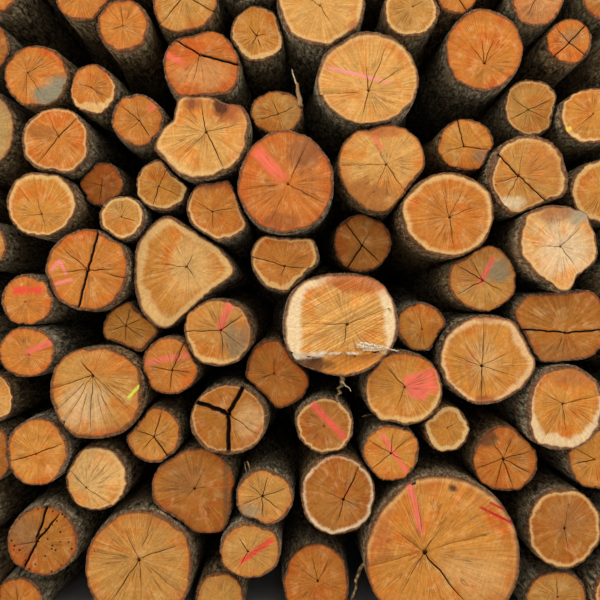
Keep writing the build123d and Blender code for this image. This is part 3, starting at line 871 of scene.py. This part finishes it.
def islands(node):
    """The node's logs from the floor upwards, each as a list of its corners and one of its faces."""
    shape = bmesh.new()
    shape.from_mesh(node.data)
    bmesh.ops.remove_doubles(shape, verts=shape.verts, dist=JOIN_DISTANCE)
    shape.verts.ensure_lookup_table()
    seen = set()
    found = []
    for start in shape.verts:
        if start.index in seen:
            continue
        group = []
        waiting = [start]
        seen.add(start.index)
        while waiting:
            point = waiting.pop()
            group.append(point)
            for edge in point.link_edges:
                other = edge.other_vert(point)
                if other.index not in seen:
                    seen.add(other.index)
                    waiting.append(other)
        place = {point: number for number, point in enumerate(group)}
        faces = {face for point in group for face in point.link_faces}
        corners = [point.co.copy() for point in group]
        rows = sorted([place[corner] for corner in face.verts] for face in faces)
        found.append((corners, rows))
    shape.free()
    return sorted(found, key=lambda log: (round(min(c.z for c in log[0]), 3), min(c.x for c in log[0])))


# %% Read a log's place and outline
READ_NEAR = 0.25
READ_FAR = 0.02
RAY_LENGTH = 1.0
NO_HIT_RADIUS = 50 * MM
QUARTERS = np.array([0, 0.5, 1, 1.5]) * math.pi


def outline_at(tree, middle, y, angles):
    """How far the log's side lies from a middle point, in each direction."""
    radii = []
    for angle in angles:
        outward = Vector((math.cos(angle), 0, math.sin(angle))) * RAY_LENGTH
        hit = tree.ray_cast(Vector((middle[0], y, middle[1])) + outward, -outward, RAY_LENGTH)
        radii.append(RAY_LENGTH - hit[3] if hit[0] else NO_HIT_RADIUS)
    return np.array(radii)


def find_log(corners, rows):
    """Where a log's ends lie along Y, and its middle at both as x and z."""
    y_near = min(c.y for c in corners)
    y_far = max(c.y for c in corners)
    tree = BVHTree.FromPolygons(corners, rows)
    guess = np.array([[c.x, c.z] for c in corners if abs(c.y - y_far) < CLOSE]).mean(axis=0)
    read_at = (y_far - READ_FAR, y_near + READ_NEAR)
    found = []
    for y in read_at:
        for _ in range(3):
            right, top, left, bottom = outline_at(tree, guess, y, QUARTERS)
            guess = guess + np.array([right - left, top - bottom]) / 2
        found.append(guess)
    slope = (found[0] - found[1]) / (read_at[0] - read_at[1])
    log = SimpleNamespace(tree=tree, y_near=y_near, y_far=y_far, length=y_far - y_near)
    log.near = found[1] - slope * READ_NEAR
    log.far = found[0] + slope * READ_FAR
    return log


def smooth_round(values, passes):
    """Values round a circle, each averaged with its neighbours."""
    for _ in range(passes):
        values = (np.roll(values, 1) + 2 * values + np.roll(values, -1)) / 4
    return values


def read_outlines(log):
    """The log's radius in the direction of each line, at its near and at its far end."""
    read_at = (log.y_near + READ_NEAR, log.y_far - READ_FAR)
    radii = []
    for y in read_at:
        middle = log.near + (log.far - log.near) * (y - log.y_near) / log.length
        radii.append(smooth_round(outline_at(log.tree, middle, y, log.angles), 3))
    grow = (radii[1] - radii[0]) / (read_at[1] - read_at[0])
    near_radii = radii[0] - grow * READ_NEAR
    for bump_angle, height, spread in log.look.get("shape", []):
        away = (np.degrees(log.angles) - bump_angle + 180) % 360 - 180
        near_radii = near_radii + height * MM * np.exp(-((away / spread) ** 2))
    return near_radii, radii[1] + grow * READ_FAR


# %% Find a log's look
SAME_PLACE = 40


def find_look(log, rng):
    """The look that is written down for the place where the log's end is seen, or a plain one."""
    forward = PLANE_Y - log.y_near
    nearness = (EYE_DISTANCE - forward) / EYE_DISTANCE
    seen_x = (log.near[0] - MIDDLE_X) / nearness / MM
    seen_z = (EYE_HEIGHT + (log.near[1] - EYE_HEIGHT) / nearness) / MM
    away = {key: math.hypot(key[0] - seen_x, key[1] - seen_z) for key in LOOKS}
    nearest = min(away, key=away.get)
    return LOOKS[nearest] if away[nearest] < SAME_PLACE else plain_look(rng)


# %% [markdown]
# ## Bark and body
# Bark is uneven: its thickness changes round the log, its surface has lumps and hollows, and the saw
# leaves its edge ragged. Each of these is smooth noise that closes on itself round the log. Real logs are
# never quite straight, so no daylight comes through a stack of them. Here each log swells a little
# half-way along, where nobody sees it, and the logs around the widest gap swell more.

# %% Smooth noise round a log
ROUND = np.arange(AROUND) / AROUND


def value_noise(rng, rows, columns, across, along):
    """Smooth random numbers from 0 to 1 on a grid that closes on itself the first way."""
    grid = rng.random((rows, columns + 2))
    row = (across * rows) % rows
    column = np.clip(along * columns, 0, columns)
    r0 = np.floor(row).astype(int)
    c0 = np.floor(column).astype(int)
    fr = row - r0
    fc = column - c0
    fr = fr * fr * (3 - 2 * fr)
    fc = fc * fc * (3 - 2 * fc)
    top = grid[r0 % rows, c0] * (1 - fr) + grid[(r0 + 1) % rows, c0] * fr
    bottom = grid[r0 % rows, c0 + 1] * (1 - fr) + grid[(r0 + 1) % rows, c0 + 1] * fr
    return top * (1 - fc) + bottom * fc


def noise_round(rng, rows):
    """Smooth random numbers for the lines round a log, with this many hills and hollows at most."""
    return value_noise(rng, rows, 1, ROUND, np.zeros(AROUND))


# %% Place the side of a log
BARK = 6 * MM
LUMPS = 4.5 * MM
RAGGED_BARK = 5 * MM
FRONT_STATIONS = [0, 0.004, 0.012, 0.03, 0.06, 0.1, 0.15, 0.2, 0.26, 0.33]
WORN_STATIONS = 5
SWELL_STARTS = 0.35
SWELL_FADE = 0.3
WIDEST_GAP = np.array([0.245, 0.98])
AROUND_GAP = 0.45


def station_depths(length):
    """Depth of each station, close together near the sawn end and even further in."""
    rest = np.linspace(FRONT_STATIONS[-1], length, STATIONS + 2 - len(FRONT_STATIONS))[1:]
    return np.concatenate([FRONT_STATIONS, rest])


def bark_round(log, rng):
    """How thick the bark is in the direction of each line, and how far its front edge is worn down."""
    strength = log.look.get("bark", 1.0)
    thickness = strength * BARK * (0.3 + 0.9 * noise_round(rng, 11) + 0.7 * noise_round(rng, 37))
    worn = 3.5 * MM * noise_round(rng, 17) + 2.5 * MM * noise_round(rng, 43)
    worn = worn + rng.uniform(-1, 1, AROUND) * MM * strength
    return thickness, np.maximum(worn, 0)


def place_side(log, rng):
    """A place for each of the pattern's points as if it lay on the outside of the bark."""
    depth = log.depths[pattern_station]
    share = depth / log.length
    around = pattern_line / AROUND
    lumps = 0.6 * value_noise(rng, 7, 9, around, share) + 0.4 * value_noise(rng, 31, 60, around, share)
    from_gap = math.hypot(*(log.near - WIDEST_GAP))
    swell = (18 + 22 * math.exp(-((from_gap / AROUND_GAP) ** 2))) * MM
    deep = np.clip((depth - SWELL_STARTS) / SWELL_FADE, 0, 1)
    deep = deep * np.clip((log.length - depth) / SWELL_FADE, 0, 1)
    radii = log.near_radii[pattern_line] * (1 - share) + log.far_radii[pattern_line] * share
    radii = radii - LUMPS * lumps * (1 - deep) + swell * deep
    middles = log.near * (1 - share)[:, None] + log.far * share[:, None]
    x, z = (middles + log.ways[pattern_line] * radii[:, None]).T
    co = np.column_stack([x, log.y_near + depth, z])

    edge_back = RAGGED_BARK * noise_round(rng, 41)
    first = is_side & (pattern_station == 0)
    co[first, 1] += edge_back[pattern_line[first]]
    front = is_side & (pattern_station < WORN_STATIONS)
    fade = 1 - depth[front] / log.depths[WORN_STATIONS]
    inward = log.worn[pattern_line[front]] * fade
    co[np.ix_(front, [0, 2])] -= log.ways[pattern_line[front]] * inward[:, None]
    return co


# %% [markdown]
# ## Cracks
# Wood shrinks as it dries, more along its rings than across them, so it tears open along the rays. A
# crack's angle rarely falls on one of the pattern's lines, so the lines are first pushed round a little
# until one lies in each crack. Then the points on both sides of that line close in to the crack's width,
# and the line itself sinks into the log. Cutting a wedge out of each log would also work, but every cut
# could fail, and it would spoil the even rows of faces.

# %% Lines that follow the cracks


def line_at(angle):
    """The number of the pattern's line that is nearest to an angle in degrees."""
    return int(round((math.radians(angle) % TURN) / LINE_STEP)) % AROUND


def pinned_angles(cracks):
    """The angle of each line round the log, with a line in every crack."""
    lines = np.arange(AROUND)
    pins = {}
    for angle, *_ in cracks:
        line = line_at(angle)
        pins[line] = (math.radians(angle) % TURN - line * LINE_STEP + math.pi) % TURN - math.pi
    if not pins:
        return lines * LINE_STEP
    pinned = sorted(pins)
    return lines * LINE_STEP + np.interp(lines, pinned, [pins[line] for line in pinned], period=AROUND)


# %% Open one crack
JAG = 0.022
REACH = 22 * MM
NARROWEST = 0.3 * MM
DEEPEST = 50 * MM


def open_crack(end, crack, rng):
    """Moves the points beside a crack, and sinks the line in its middle into the log."""
    angle, start, stop, width = crack
    line = line_at(angle)
    run = end.edge[line] - end.pith
    length = np.linalg.norm(run)
    run = run / length
    side = np.array([-run[1], run[0]])
    share = (end.spot - end.pith) @ run / length
    aside = (end.spot - end.pith) @ side

    # A crack is jagged and narrows towards its ends. One that reaches the bark stays open there.
    jags = np.interp(share, np.linspace(0, 1, 11), np.concatenate([[0], rng.uniform(-1, 1, 9), [0]]))
    opening = np.clip((share - start + 0.02) / 0.06, 0, 1)
    if stop < 0.99:
        opening = opening * np.clip((stop - share) / (0.5 * stop), 0, 1) ** 0.5
    wide = np.maximum(width * MM * opening, NARROWEST)

    # The lines on both sides close in on the crack. Those further out make room.
    reach = max(REACH, 4 * width * MM)
    steps = (end.line - line + AROUND // 2) % AROUND - AROUND // 2
    beside = (share > start - 0.12) & (share < stop + 0.14) & (share > -0.01)
    beside = beside & (np.abs(aside) < reach) & (np.abs(steps) < AROUND // 3)
    closeness = 1 - np.abs(aside) / reach
    pushed = np.where(np.abs(steps) == 1, wide / 2, np.abs(aside) + wide / 2 * closeness)
    pushed = np.sign(steps) * pushed + JAG * length * jags * closeness
    moved = end.pith + run * (share * length)[:, None] + side * pushed[:, None]
    end.spot[beside] = moved[beside]
    middle = beside & (steps == 0) & (opening > 0)
    sunk = min(DEEPEST, (3 + 4 * width) * MM) * np.sqrt(opening)
    end.depth[middle] = np.maximum(end.depth[middle], sunk[middle])
    end.crack[middle] = 1.0


# %% Place a sawn end
WIDE_CRACK = 5
PITH_DEPTH = 1 * MM


def fit_end(where, edge, outer, pith, cracks, rng):
    """One sawn end's points: their places as x and z, their depth, and whether they lie in a crack."""
    ring = pattern_radius[where]
    end = SimpleNamespace(line=pattern_line[where], edge=edge, pith=pith)
    fraction = np.clip(ring / WOOD_EDGE, 0, 1)
    end.spot = pith + (edge[end.line] - pith) * fraction[:, None]
    end.depth = np.zeros(len(ring))
    end.crack = np.zeros(len(ring))
    for crack in cracks:
        open_crack(end, crack, rng)
    if not any(width >= WIDE_CRACK for *_, width in cracks):
        end.crack[ring < CLOSE] = 0.0
        end.depth[ring < CLOSE] = PITH_DEPTH
    end.in_bark = ring > WOOD_EDGE + CLOSE
    bark_part = ((ring - WOOD_EDGE) / (1 - WOOD_EDGE))[:, None]
    bark_spot = edge[end.line] * (1 - bark_part) + outer[end.line] * bark_part
    end.spot[end.in_bark] = bark_spot[end.in_bark]
    return end


# %% [markdown]
# ## The torn step
# The saw didn't cut the log at the centre of the stack all the way down. Its last strip tore off, which
# left a ragged step. The end is cut along a line, a second cut just below gives the step its edge, and what
# lies below moves back.

# %% Tear off the last strip
RAGGED_LINE = 8 * MM
RAGGED_WIDTH = 0.32
RAGS = 24
LIP = 2.5 * MM
ON_CUT = 0.1 * MM
FRONT_SKIN = 8 * MM


def step_back(mesh, log, level, step_depth, rng):
    """Moves the part of a sawn end below a ragged line back."""
    shape = bmesh.new()
    shape.from_mesh(mesh)
    heights = rng.uniform(-1, 1, RAGS)
    cut = log.near[1] + level * MM
    for height in (cut, cut - LIP):
        front = [face for face in shape.faces if all(c.co.y < log.y_near + FRONT_SKIN for c in face.verts)]
        around = list({corner for face in front for corner in face.verts})
        around += list({edge for face in front for edge in face.edges})
        bmesh.ops.bisect_plane(shape, geom=front + around, plane_co=(0, 0, height), plane_no=(0, 0, 1))
    for corner in shape.verts:
        if corner.co.y > log.y_near + step_depth * MM + 0.04:
            continue
        below = corner.co.z < cut - 2 * MM
        on_cut = min(abs(corner.co.z - cut), abs(corner.co.z - cut + LIP)) < ON_CUT
        if on_cut and corner.co.y < log.y_near + 0.05:
            share = (corner.co.x - log.near[0]) / RAGGED_WIDTH + 0.5
            corner.co.z += float(np.interp(share, np.linspace(0, 1, RAGS), heights)) * RAGGED_LINE
        if below:
            corner.co.y = log.y_near + step_depth * MM + (corner.co.y - log.y_near) * 0.3
    shape.to_mesh(mesh)
    shape.free()


# %% [markdown]
# ## Values for the materials
# The materials are shared by all logs, so what differs from log to log is stored on its mesh, point by
# point. A patch or a stroke that a log doesn't have lies far away from it.

# %% Store values on a mesh
FIELDS = {"FLOAT": ("value", 1), "FLOAT_VECTOR": ("vector", 3), "FLOAT_COLOR": ("color", 4)}
FAR_AWAY = 99.0
NO_PATCH = (999, 999, 1, 1, "#000000", 0)


def store(mesh, name, kind, values):
    """Stores a value of each point, or one value for all of them, under a name."""
    field, size = FIELDS[kind]
    values = np.broadcast_to(np.reshape(values, (-1, size)), (len(mesh.vertices), size))
    made = mesh.attributes.new(name, kind, "POINT")
    made.data.foreach_set(field, values.astype(np.float32).ravel())


def store_wood(mesh, log, co, rng):
    """Stores where each point lies in the wood and the bark, and the tones of both."""
    look = log.look
    pith = np.where(is_far[:, None], log.far_pith, log.pith)
    crack = np.zeros(len(co))
    crack[is_near] = log.near_crack
    crack[is_far] = log.far_crack
    torn = np.where(is_side, np.clip(1 - log.depths[pattern_station] / 0.05, 0, 1), 1.0)
    torn = np.where(pattern_station > STATIONS // 2, 0.4 * torn, torn)
    place = np.column_stack([co[:, [0, 2]] - pith, np.full(len(co), log.number * 3.7)])
    store(mesh, "place", "FLOAT_VECTOR", place)
    store(mesh, "rim", "FLOAT", np.clip(pattern_radius / WOOD_EDGE, 0, 1.05))
    store(mesh, "crack", "FLOAT", crack)
    store(mesh, "torn", "FLOAT", torn)
    store(mesh, "moss", "FLOAT", look.get("moss", float(rng.choice([0.0, 0.0, 0.1, 0.25]))))
    store(mesh, "age", "FLOAT", (log.number * 0.618) % 1)
    store(mesh, "holes", "FLOAT", look.get("holes", 0.0))
    saw_angle, saw_strength = look.get("saw", (rng.uniform(0, 180), 0.45))
    saw_angle = math.radians(saw_angle)
    store(mesh, "saw", "FLOAT_VECTOR", (math.cos(saw_angle), math.sin(saw_angle), saw_strength))

    sap = look.get("sap", 0.0)
    if isinstance(sap, list):
        sap = np.interp(np.degrees(log.angles[pattern_line]) % 360, *zip(*sap), period=360)
    tone = np.tile(linear(TONES[look["tone"]]), (len(co), 1))
    tone[:, 3] = sap
    store(mesh, "tone", "FLOAT_COLOR", tone)
    store(mesh, "edge_tone", "FLOAT_COLOR", linear(look.get("edge", SAPWOOD)))


# %% Store patches and strokes of paint and painted shade


def store_patches(mesh, look, from_middle):
    """Stores where each point lies in the log's patches, and their tones."""
    patches = look.get("patches", []) + [NO_PATCH] * len(PATCHES)
    for name, (x, z, half_width, half_height, colour, strength) in zip(PATCHES, patches):
        inside = (from_middle - (x, z)) / (half_width, half_height)
        store(mesh, name, "FLOAT_VECTOR", np.column_stack([inside, np.zeros(len(inside))]))
        store(mesh, name + "_tone", "FLOAT_COLOR", linear(colour)[:3] + [strength])


def store_strokes(mesh, look, from_middle):
    """Stores where each point lies in the strokes, and the colour of the nearest one: paint, and on one log
    painted shade.
    """
    strokes = look.get("strokes", [])
    middles = np.array([((x0 + x1) / 2, (z0 + z1) / 2) for x0, z0, x1, z1, _ in strokes] or [(0, 0)])
    for number, name in enumerate(STROKES):
        inside = np.full((len(from_middle), 3), FAR_AWAY)
        if number < len(strokes):
            x0, z0, x1, z1, width = strokes[number]
            half_run = np.array([x1 - x0, z1 - z0]) / 2
            half = np.linalg.norm(half_run)
            along = half_run / half
            offset = from_middle - middles[number]
            inside[:, 0] = offset @ along / half
            inside[:, 1] = offset @ np.array([-along[1], along[0]]) / (width / 2)
            inside[is_far, :2] = FAR_AWAY
        store(mesh, name, "FLOAT_VECTOR", inside)
    stroke_colours = look.get("paint_and_shade", ("#000000", 0.0))
    if not isinstance(stroke_colours, list):
        stroke_colours = [stroke_colours] * max(1, len(strokes))
    nearest = np.linalg.norm(from_middle[:, None, :] - middles[None, :, :], axis=2).argmin(axis=1)
    colours = np.array([linear(colour)[:3] + [strength] for colour, strength in stroke_colours])
    store(mesh, "paint_and_shade", "FLOAT_COLOR", colours[nearest])


# %% [markdown]
# ## One log
# A log is a copy of the pattern's mesh. Its side is placed first, then the near end with the cracks of
# its look, and then the far end, which nobody sees from the front, with two cracks of its own.

# %% Fit one log
SAW_FACE = 0.2 * MM


def place_ends(log, co, rng):
    """Puts the points of both sawn ends in place and keeps their piths and cracks."""
    outer = log.near + log.ways * (log.near_radii - log.worn)[:, None]
    edge = log.near + log.ways * (log.near_radii - log.thickness - log.worn)[:, None]
    log.pith = log.near + np.array(log.look.get("pith", tuple(rng.uniform(-7, 7, 2)))) * MM
    end = fit_end(is_near, edge, outer, log.pith, log.look.get("cracks", []), rng)
    end.depth[end.in_bark] = RAGGED_BARK * rng.random(len(end.depth))[end.in_bark]
    co[is_near] = np.column_stack([end.spot[:, 0], log.y_near + SAW_FACE + end.depth, end.spot[:, 1]])
    log.near_crack = end.crack

    outer = log.far + log.ways * log.far_radii[:, None]
    edge = outer - log.ways * log.thickness[:, None]
    log.far_pith = log.far + rng.uniform(-8, 8, 2) * MM
    far_cracks = [(float(angle), 0, 0.9, 2.5) for angle in rng.uniform(0, 360, 2)]
    end = fit_end(is_far, edge, outer, log.far_pith, far_cracks, rng)
    co[is_far] = np.column_stack([end.spot[:, 0], log.y_far - SAW_FACE - end.depth, end.spot[:, 1]])
    log.far_crack = end.crack


def lay_out_texture(mesh, log, co):
    """Lays each face out as seen from its end, or unrolled if it is bark, in a square from 0 to 1."""
    log.texture_width = 2 * max(log.near_radii.max(), log.far_radii.max()) + 10 * MM
    uv = np.column_stack([pattern_station[face_corners] / STATIONS, corner_turn / AROUND])
    for kind, middle in ((NEAR_END, log.near), (FAR_END, log.far)):
        seen = corner_kind == kind
        uv[seen] = (co[face_corners[seen]][:, [0, 2]] - middle) / log.texture_width + 0.5
    mesh.uv_layers.new(name="OFBake").data.foreach_set("uv", uv.astype(np.float32).ravel())


def fit_log(name, corners, rows, number):
    """A copy of the pattern that fills the place of one CAD log."""
    rng = np.random.default_rng(number)
    log = find_log(corners, rows)
    log.number = number
    log.look = find_look(log, rng)
    log.angles = pinned_angles(log.look.get("cracks", []))
    log.ways = np.stack([np.cos(log.angles), np.sin(log.angles)], axis=1)
    log.depths = station_depths(log.length)
    log.near_radii, log.far_radii = read_outlines(log)
    log.thickness, log.worn = bark_round(log, rng)
    co = place_side(log, rng)
    place_ends(log, co, rng)
    co[:, 2] = np.maximum(co[:, 2], 0)

    mesh = pattern.data.copy()
    mesh.name = name
    mesh.vertices.foreach_set("co", co.astype(np.float32).ravel())
    store_wood(mesh, log, co, rng)
    from_middle = (co[:, [0, 2]] - log.near) / MM
    from_middle[is_far] = 999
    store_patches(mesh, log.look, from_middle)
    store_strokes(mesh, log.look, from_middle)
    lay_out_texture(mesh, log, co)
    if "ragged" in log.look:
        step_back(mesh, log, *log.look["ragged"], rng)
    made = bpy.data.objects.new(name, mesh)
    made["texture_width"] = float(log.texture_width)
    bpy.context.scene.collection.objects.link(made)
    return made


# %% [markdown]
# ## Places in the texture
# All logs of a course share one texture. The sawn ends matter most, so they get the lower 60% of it,
# packed shelf by shelf at one scale. The bark gets most of the rest, in two rows, and the far ends get a
# strip at the top. A thin margin keeps the colours of neighbours apart.

# %% Texture places of a course
NEAR_PART = 0.6
SIDE_ROW = 0.155
SIDES_START = 0.605
FARS_START = 0.915
LARGEST_FAR = 0.08
MARGIN = 0.003
FAR_MARGIN = 0.002


def shelves(widths, scale):
    """The lower left corner and size of each square when they stand side by side on shelves, or None."""
    places = {}
    x = y = tallest = 0.0
    for number in sorted(range(len(widths)), key=lambda k: -widths[k]):
        size = widths[number] * scale
        if x + size > 1:
            x = 0.0
            y += tallest
            tallest = 0.0
        places[number] = (x, y, size)
        x += size
        tallest = max(tallest, size)
        if y + size > NEAR_PART or size > 1:
            return None
    return places


def texture_cells(logs):
    """For each log the places of its near end, side and far end: x, y, width, height and margin."""
    widths = [log["texture_width"] for log in logs]
    scale = 3.0
    while shelves(widths, scale) is None:
        scale *= 0.98
    near_places = shelves(widths, scale)
    columns = math.ceil(len(logs) / 2)
    far_size = min(LARGEST_FAR, 1 / len(logs))
    for number, log in enumerate(logs):
        x, y, size = near_places[number]
        side_x = (number % columns) / columns
        side_y = SIDES_START + SIDE_ROW * (number // columns)
        yield log, {
            NEAR_END: (x, y, size, size, MARGIN),
            SIDE: (side_x, side_y, 1 / columns, SIDE_ROW, MARGIN),
            FAR_END: (number * far_size, FARS_START, far_size, far_size, FAR_MARGIN),
        }


def place_in_texture(logs):
    """Moves each log's three texture islands to their own places."""
    for log, cells in texture_cells(logs):
        layer = log.data.uv_layers["OFBake"]
        uv = np.zeros(len(layer.data) * 2, dtype=np.float32)
        layer.data.foreach_get("uv", uv)
        uv = uv.reshape(-1, 2)
        kinds = np.zeros(len(log.data.polygons), dtype=np.int32)
        log.data.attributes["side_kind"].data.foreach_get("value", kinds)
        totals = np.zeros(len(log.data.polygons), dtype=np.int32)
        log.data.polygons.foreach_get("loop_total", totals)
        corner_kinds = np.repeat(kinds, totals)
        for kind, (x, y, width, height, margin) in cells.items():
            here = corner_kinds == kind
            uv[here] = uv[here] * (width - 2 * margin, height - 2 * margin) + (x + margin, y + margin)
        layer.data.foreach_set("uv", uv.ravel())


# %% [markdown]
# ## Every course
# The logs of a course are joined to one piece, because the course is one node of the frame. It rides on
# the stack's only body, and takes the place of its plain node.

# %% Dress every course


def join(parts, name):
    """Joins objects to one with a name."""
    bpy.ops.object.select_all(action="DESELECT")
    for part in parts:
        part.select_set(True)
    bpy.context.view_layer.objects.active = parts[0]
    bpy.ops.object.join()
    joined = bpy.context.active_object
    joined.name = name
    joined.data.name = name
    return joined


log_count = 0
for course, node in sorted(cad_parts.items()):
    logs = []
    for corners, rows in islands(node):
        log_count += 1
        logs.append(fit_log(f"{course}_log_{len(logs) + 1}", corners, rows, log_count))
    place_in_texture(logs)
    piece = join(logs, f"{course}_dressed")
    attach(piece, "root")
    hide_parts(course)
    print(piece.name, "logs:", len(logs), "faces:", len(piece.data.polygons))

bpy.data.objects.remove(pattern)

# %% [markdown]
# ## Loose bits between the logs
# A broken branch, a stub of bark and a few splinters hang in the gaps, each held by a log or by another
# bit. The curl of torn wood on the step of the log at the centre is three strands side by side and a tip.
# Each bit is a thin cylinder, subdivided along its length, pulled into a slight bend and thinned towards
# its tip. A curve with a bevel would do as well, but a cylinder has its faces at once.
# A bit is (x, z, x, z, width at the root, how far it lies behind the measuring plane, how crooked it is),
# with lengths in millimetres.

# %% Places of the loose bits
BITS = {
    "broken_branch": (186, 200, 136, 62, 20, 30, 0.22),
    "torn_splinter": (150, 802, 236, 797, 24, -158, 0.10),
    "torn_splinter_upper": (158, 812, 226, 800, 17, -160, 0.12),
    "torn_splinter_lower": (166, 793, 240, 794, 13, -157, 0.12),
    "torn_splinter_tip": (214, 800, 262, 789, 8, -160, 0.20),
    "hanging_bark_stub": (118, 716, 104, 640, 24, -20, 0.22),
    "stub_splinter": (114, 702, 142, 672, 8, -24, 0.22),
    "standing_splinter": (1, 1474, -9, 1540, 28, 42, 0.08),
    "standing_splinter_tip": (-8, 1530, -23, 1580, 10, 42, 0.15),
    "bark_strand": (-148, 470, -132, 385, 8, 25, 0.22),
    "bark_strand_two": (-156, 468, -146, 400, 5, 25, 0.22),
    "small_twig": (175, 596, 212, 604, 5, 30, 0.22),
}
WEATHERED = {"standing_splinter": 0.8, "bark_strand": 0.35, "bark_strand_two": 0.35}
FRESH = 0.1
BENDS = 9
TIP_THINNING = 0.55
FLATNESS = 0.6

# %% Model the loose bits


def bend_bit(bit, length, amount, rng):
    """Pulls an upright cylinder into a slight bend, flattens it and thins it towards its tip."""
    bends = rng.uniform(-1, 1, (BENDS, 2))
    for point in bit.data.vertices:
        share = point.co.z / length + 0.5
        thin = 1 - TIP_THINNING * share
        aside = [np.interp(share, np.linspace(0, 1, BENDS), bends[:, axis]) * amount for axis in (0, 1)]
        point.co.x = point.co.x * thin + aside[0]
        point.co.y = point.co.y * thin * FLATNESS + aside[1]


def model_bit(name, x0, z0, x1, z1, width, behind, crooked, rng):
    """A bit between the two places where its root and its tip are seen."""
    root = Vector((x0 * MM + MIDDLE_X, PLANE_Y + behind * MM, z0 * MM))
    tip = Vector((x1 * MM + MIDDLE_X, PLANE_Y + behind * MM, z1 * MM))
    length = (tip - root).length
    bpy.ops.object.select_all(action="DESELECT")
    bpy.ops.mesh.primitive_cylinder_add(vertices=8, radius=width * MM / 2, depth=length)
    bit = bpy.context.active_object
    bit.name = name
    bpy.ops.object.mode_set(mode="EDIT")
    bpy.ops.mesh.select_all(action="SELECT")
    bpy.ops.mesh.subdivide(number_cuts=7)
    bpy.ops.object.mode_set(mode="OBJECT")
    bend_bit(bit, length, crooked * width * MM, rng)
    bit.matrix_world = (tip - root).to_track_quat("Z", "Y").to_matrix().to_4x4()
    bit.location = (root + tip) / 2
    bpy.ops.object.transform_apply(location=True, rotation=True, scale=True)
    bit.data.materials.append(splinter_material if "splinter" in name else bark_material)
    store(bit.data, "moss", "FLOAT", 0.1)
    store(bit.data, "torn", "FLOAT", WEATHERED.get(name, FRESH))
    for face in bit.data.polygons:
        face.use_smooth = True
    return bit


bits = [model_bit(name, *BITS[name], np.random.default_rng(seed)) for seed, name in enumerate(BITS)]
loose_bits = join(bits, "loose_bits")
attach(loose_bits, "root")
print("loose bits:", len(bits))

# %% [markdown]
# ## Floor, light and camera
# The stack stands on a plain pale floor. A large soft light above the camera and a weaker one on each
# side show the ends as an overcast sky would, and leave the gaps between the logs dark. One behind the
# stack lights its far side. The camera stands where the photographer stood.

# %% Floor and world
bpy.ops.object.select_all(action="DESELECT")
bpy.ops.mesh.primitive_plane_add(size=30, location=(0, 0, 0))
floor = bpy.context.active_object
floor.name = "floor"
floor_material, add = new_material("pale_floor")
finish_surface(add, linear("#D9D8D5"), 0.9)
floor.data.materials.append(floor_material)
floor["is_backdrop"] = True

world = bpy.data.worlds.new("studio")
bpy.context.scene.world = world
world.use_nodes = True
world.node_tree.nodes["Background"].inputs["Color"].default_value = linear("#E9EBEE")
world.node_tree.nodes["Background"].inputs["Strength"].default_value = 1.1

# %% Lights
LAMPS = {
    "sky_in_front": ((0.3, -4.8, 3.6), (0, -0.9, 0.9), 4.0, 45),
    "left_fill": ((-4.5, -2.5, 2.2), (0, 0, 0.9), 2.5, 40),
    "right_fill": ((4.5, -2.0, 2.6), (0, 0, 0.9), 2.5, 40),
    "sky_behind": ((0.0, 5.0, 4.0), (0, 0, 0.9), 3.0, 60),
}
for name, (place, target, size, watts) in LAMPS.items():
    lamp = bpy.data.lights.new(name, "AREA")
    lamp.energy = watts
    lamp.size = size
    made = bpy.data.objects.new(name, lamp)
    bpy.context.scene.collection.objects.link(made)
    made.location = place
    made.rotation_euler = (Vector(target) - Vector(place)).to_track_quat("-Z", "Y").to_euler()
print("lamps:", len(LAMPS))

# %% Camera
SENSOR_WIDTH = 36
camera_data = bpy.data.cameras.new("camera")
camera_data.sensor_width = SENSOR_WIDTH
camera_data.lens = SENSOR_WIDTH * EYE_DISTANCE / SEEN_WIDTH
camera = bpy.data.objects.new("camera", camera_data)
bpy.context.scene.collection.objects.link(camera)
camera.location = (MIDDLE_X, PLANE_Y - EYE_DISTANCE, EYE_HEIGHT)
camera.rotation_euler = (math.pi / 2, 0, 0)
bpy.context.scene.camera = camera
bpy.context.scene.view_settings.view_transform = "Standard"

# %% Size of the result
low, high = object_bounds()
print("size:", [round(b - a, 3) for a, b in zip(low, high)])
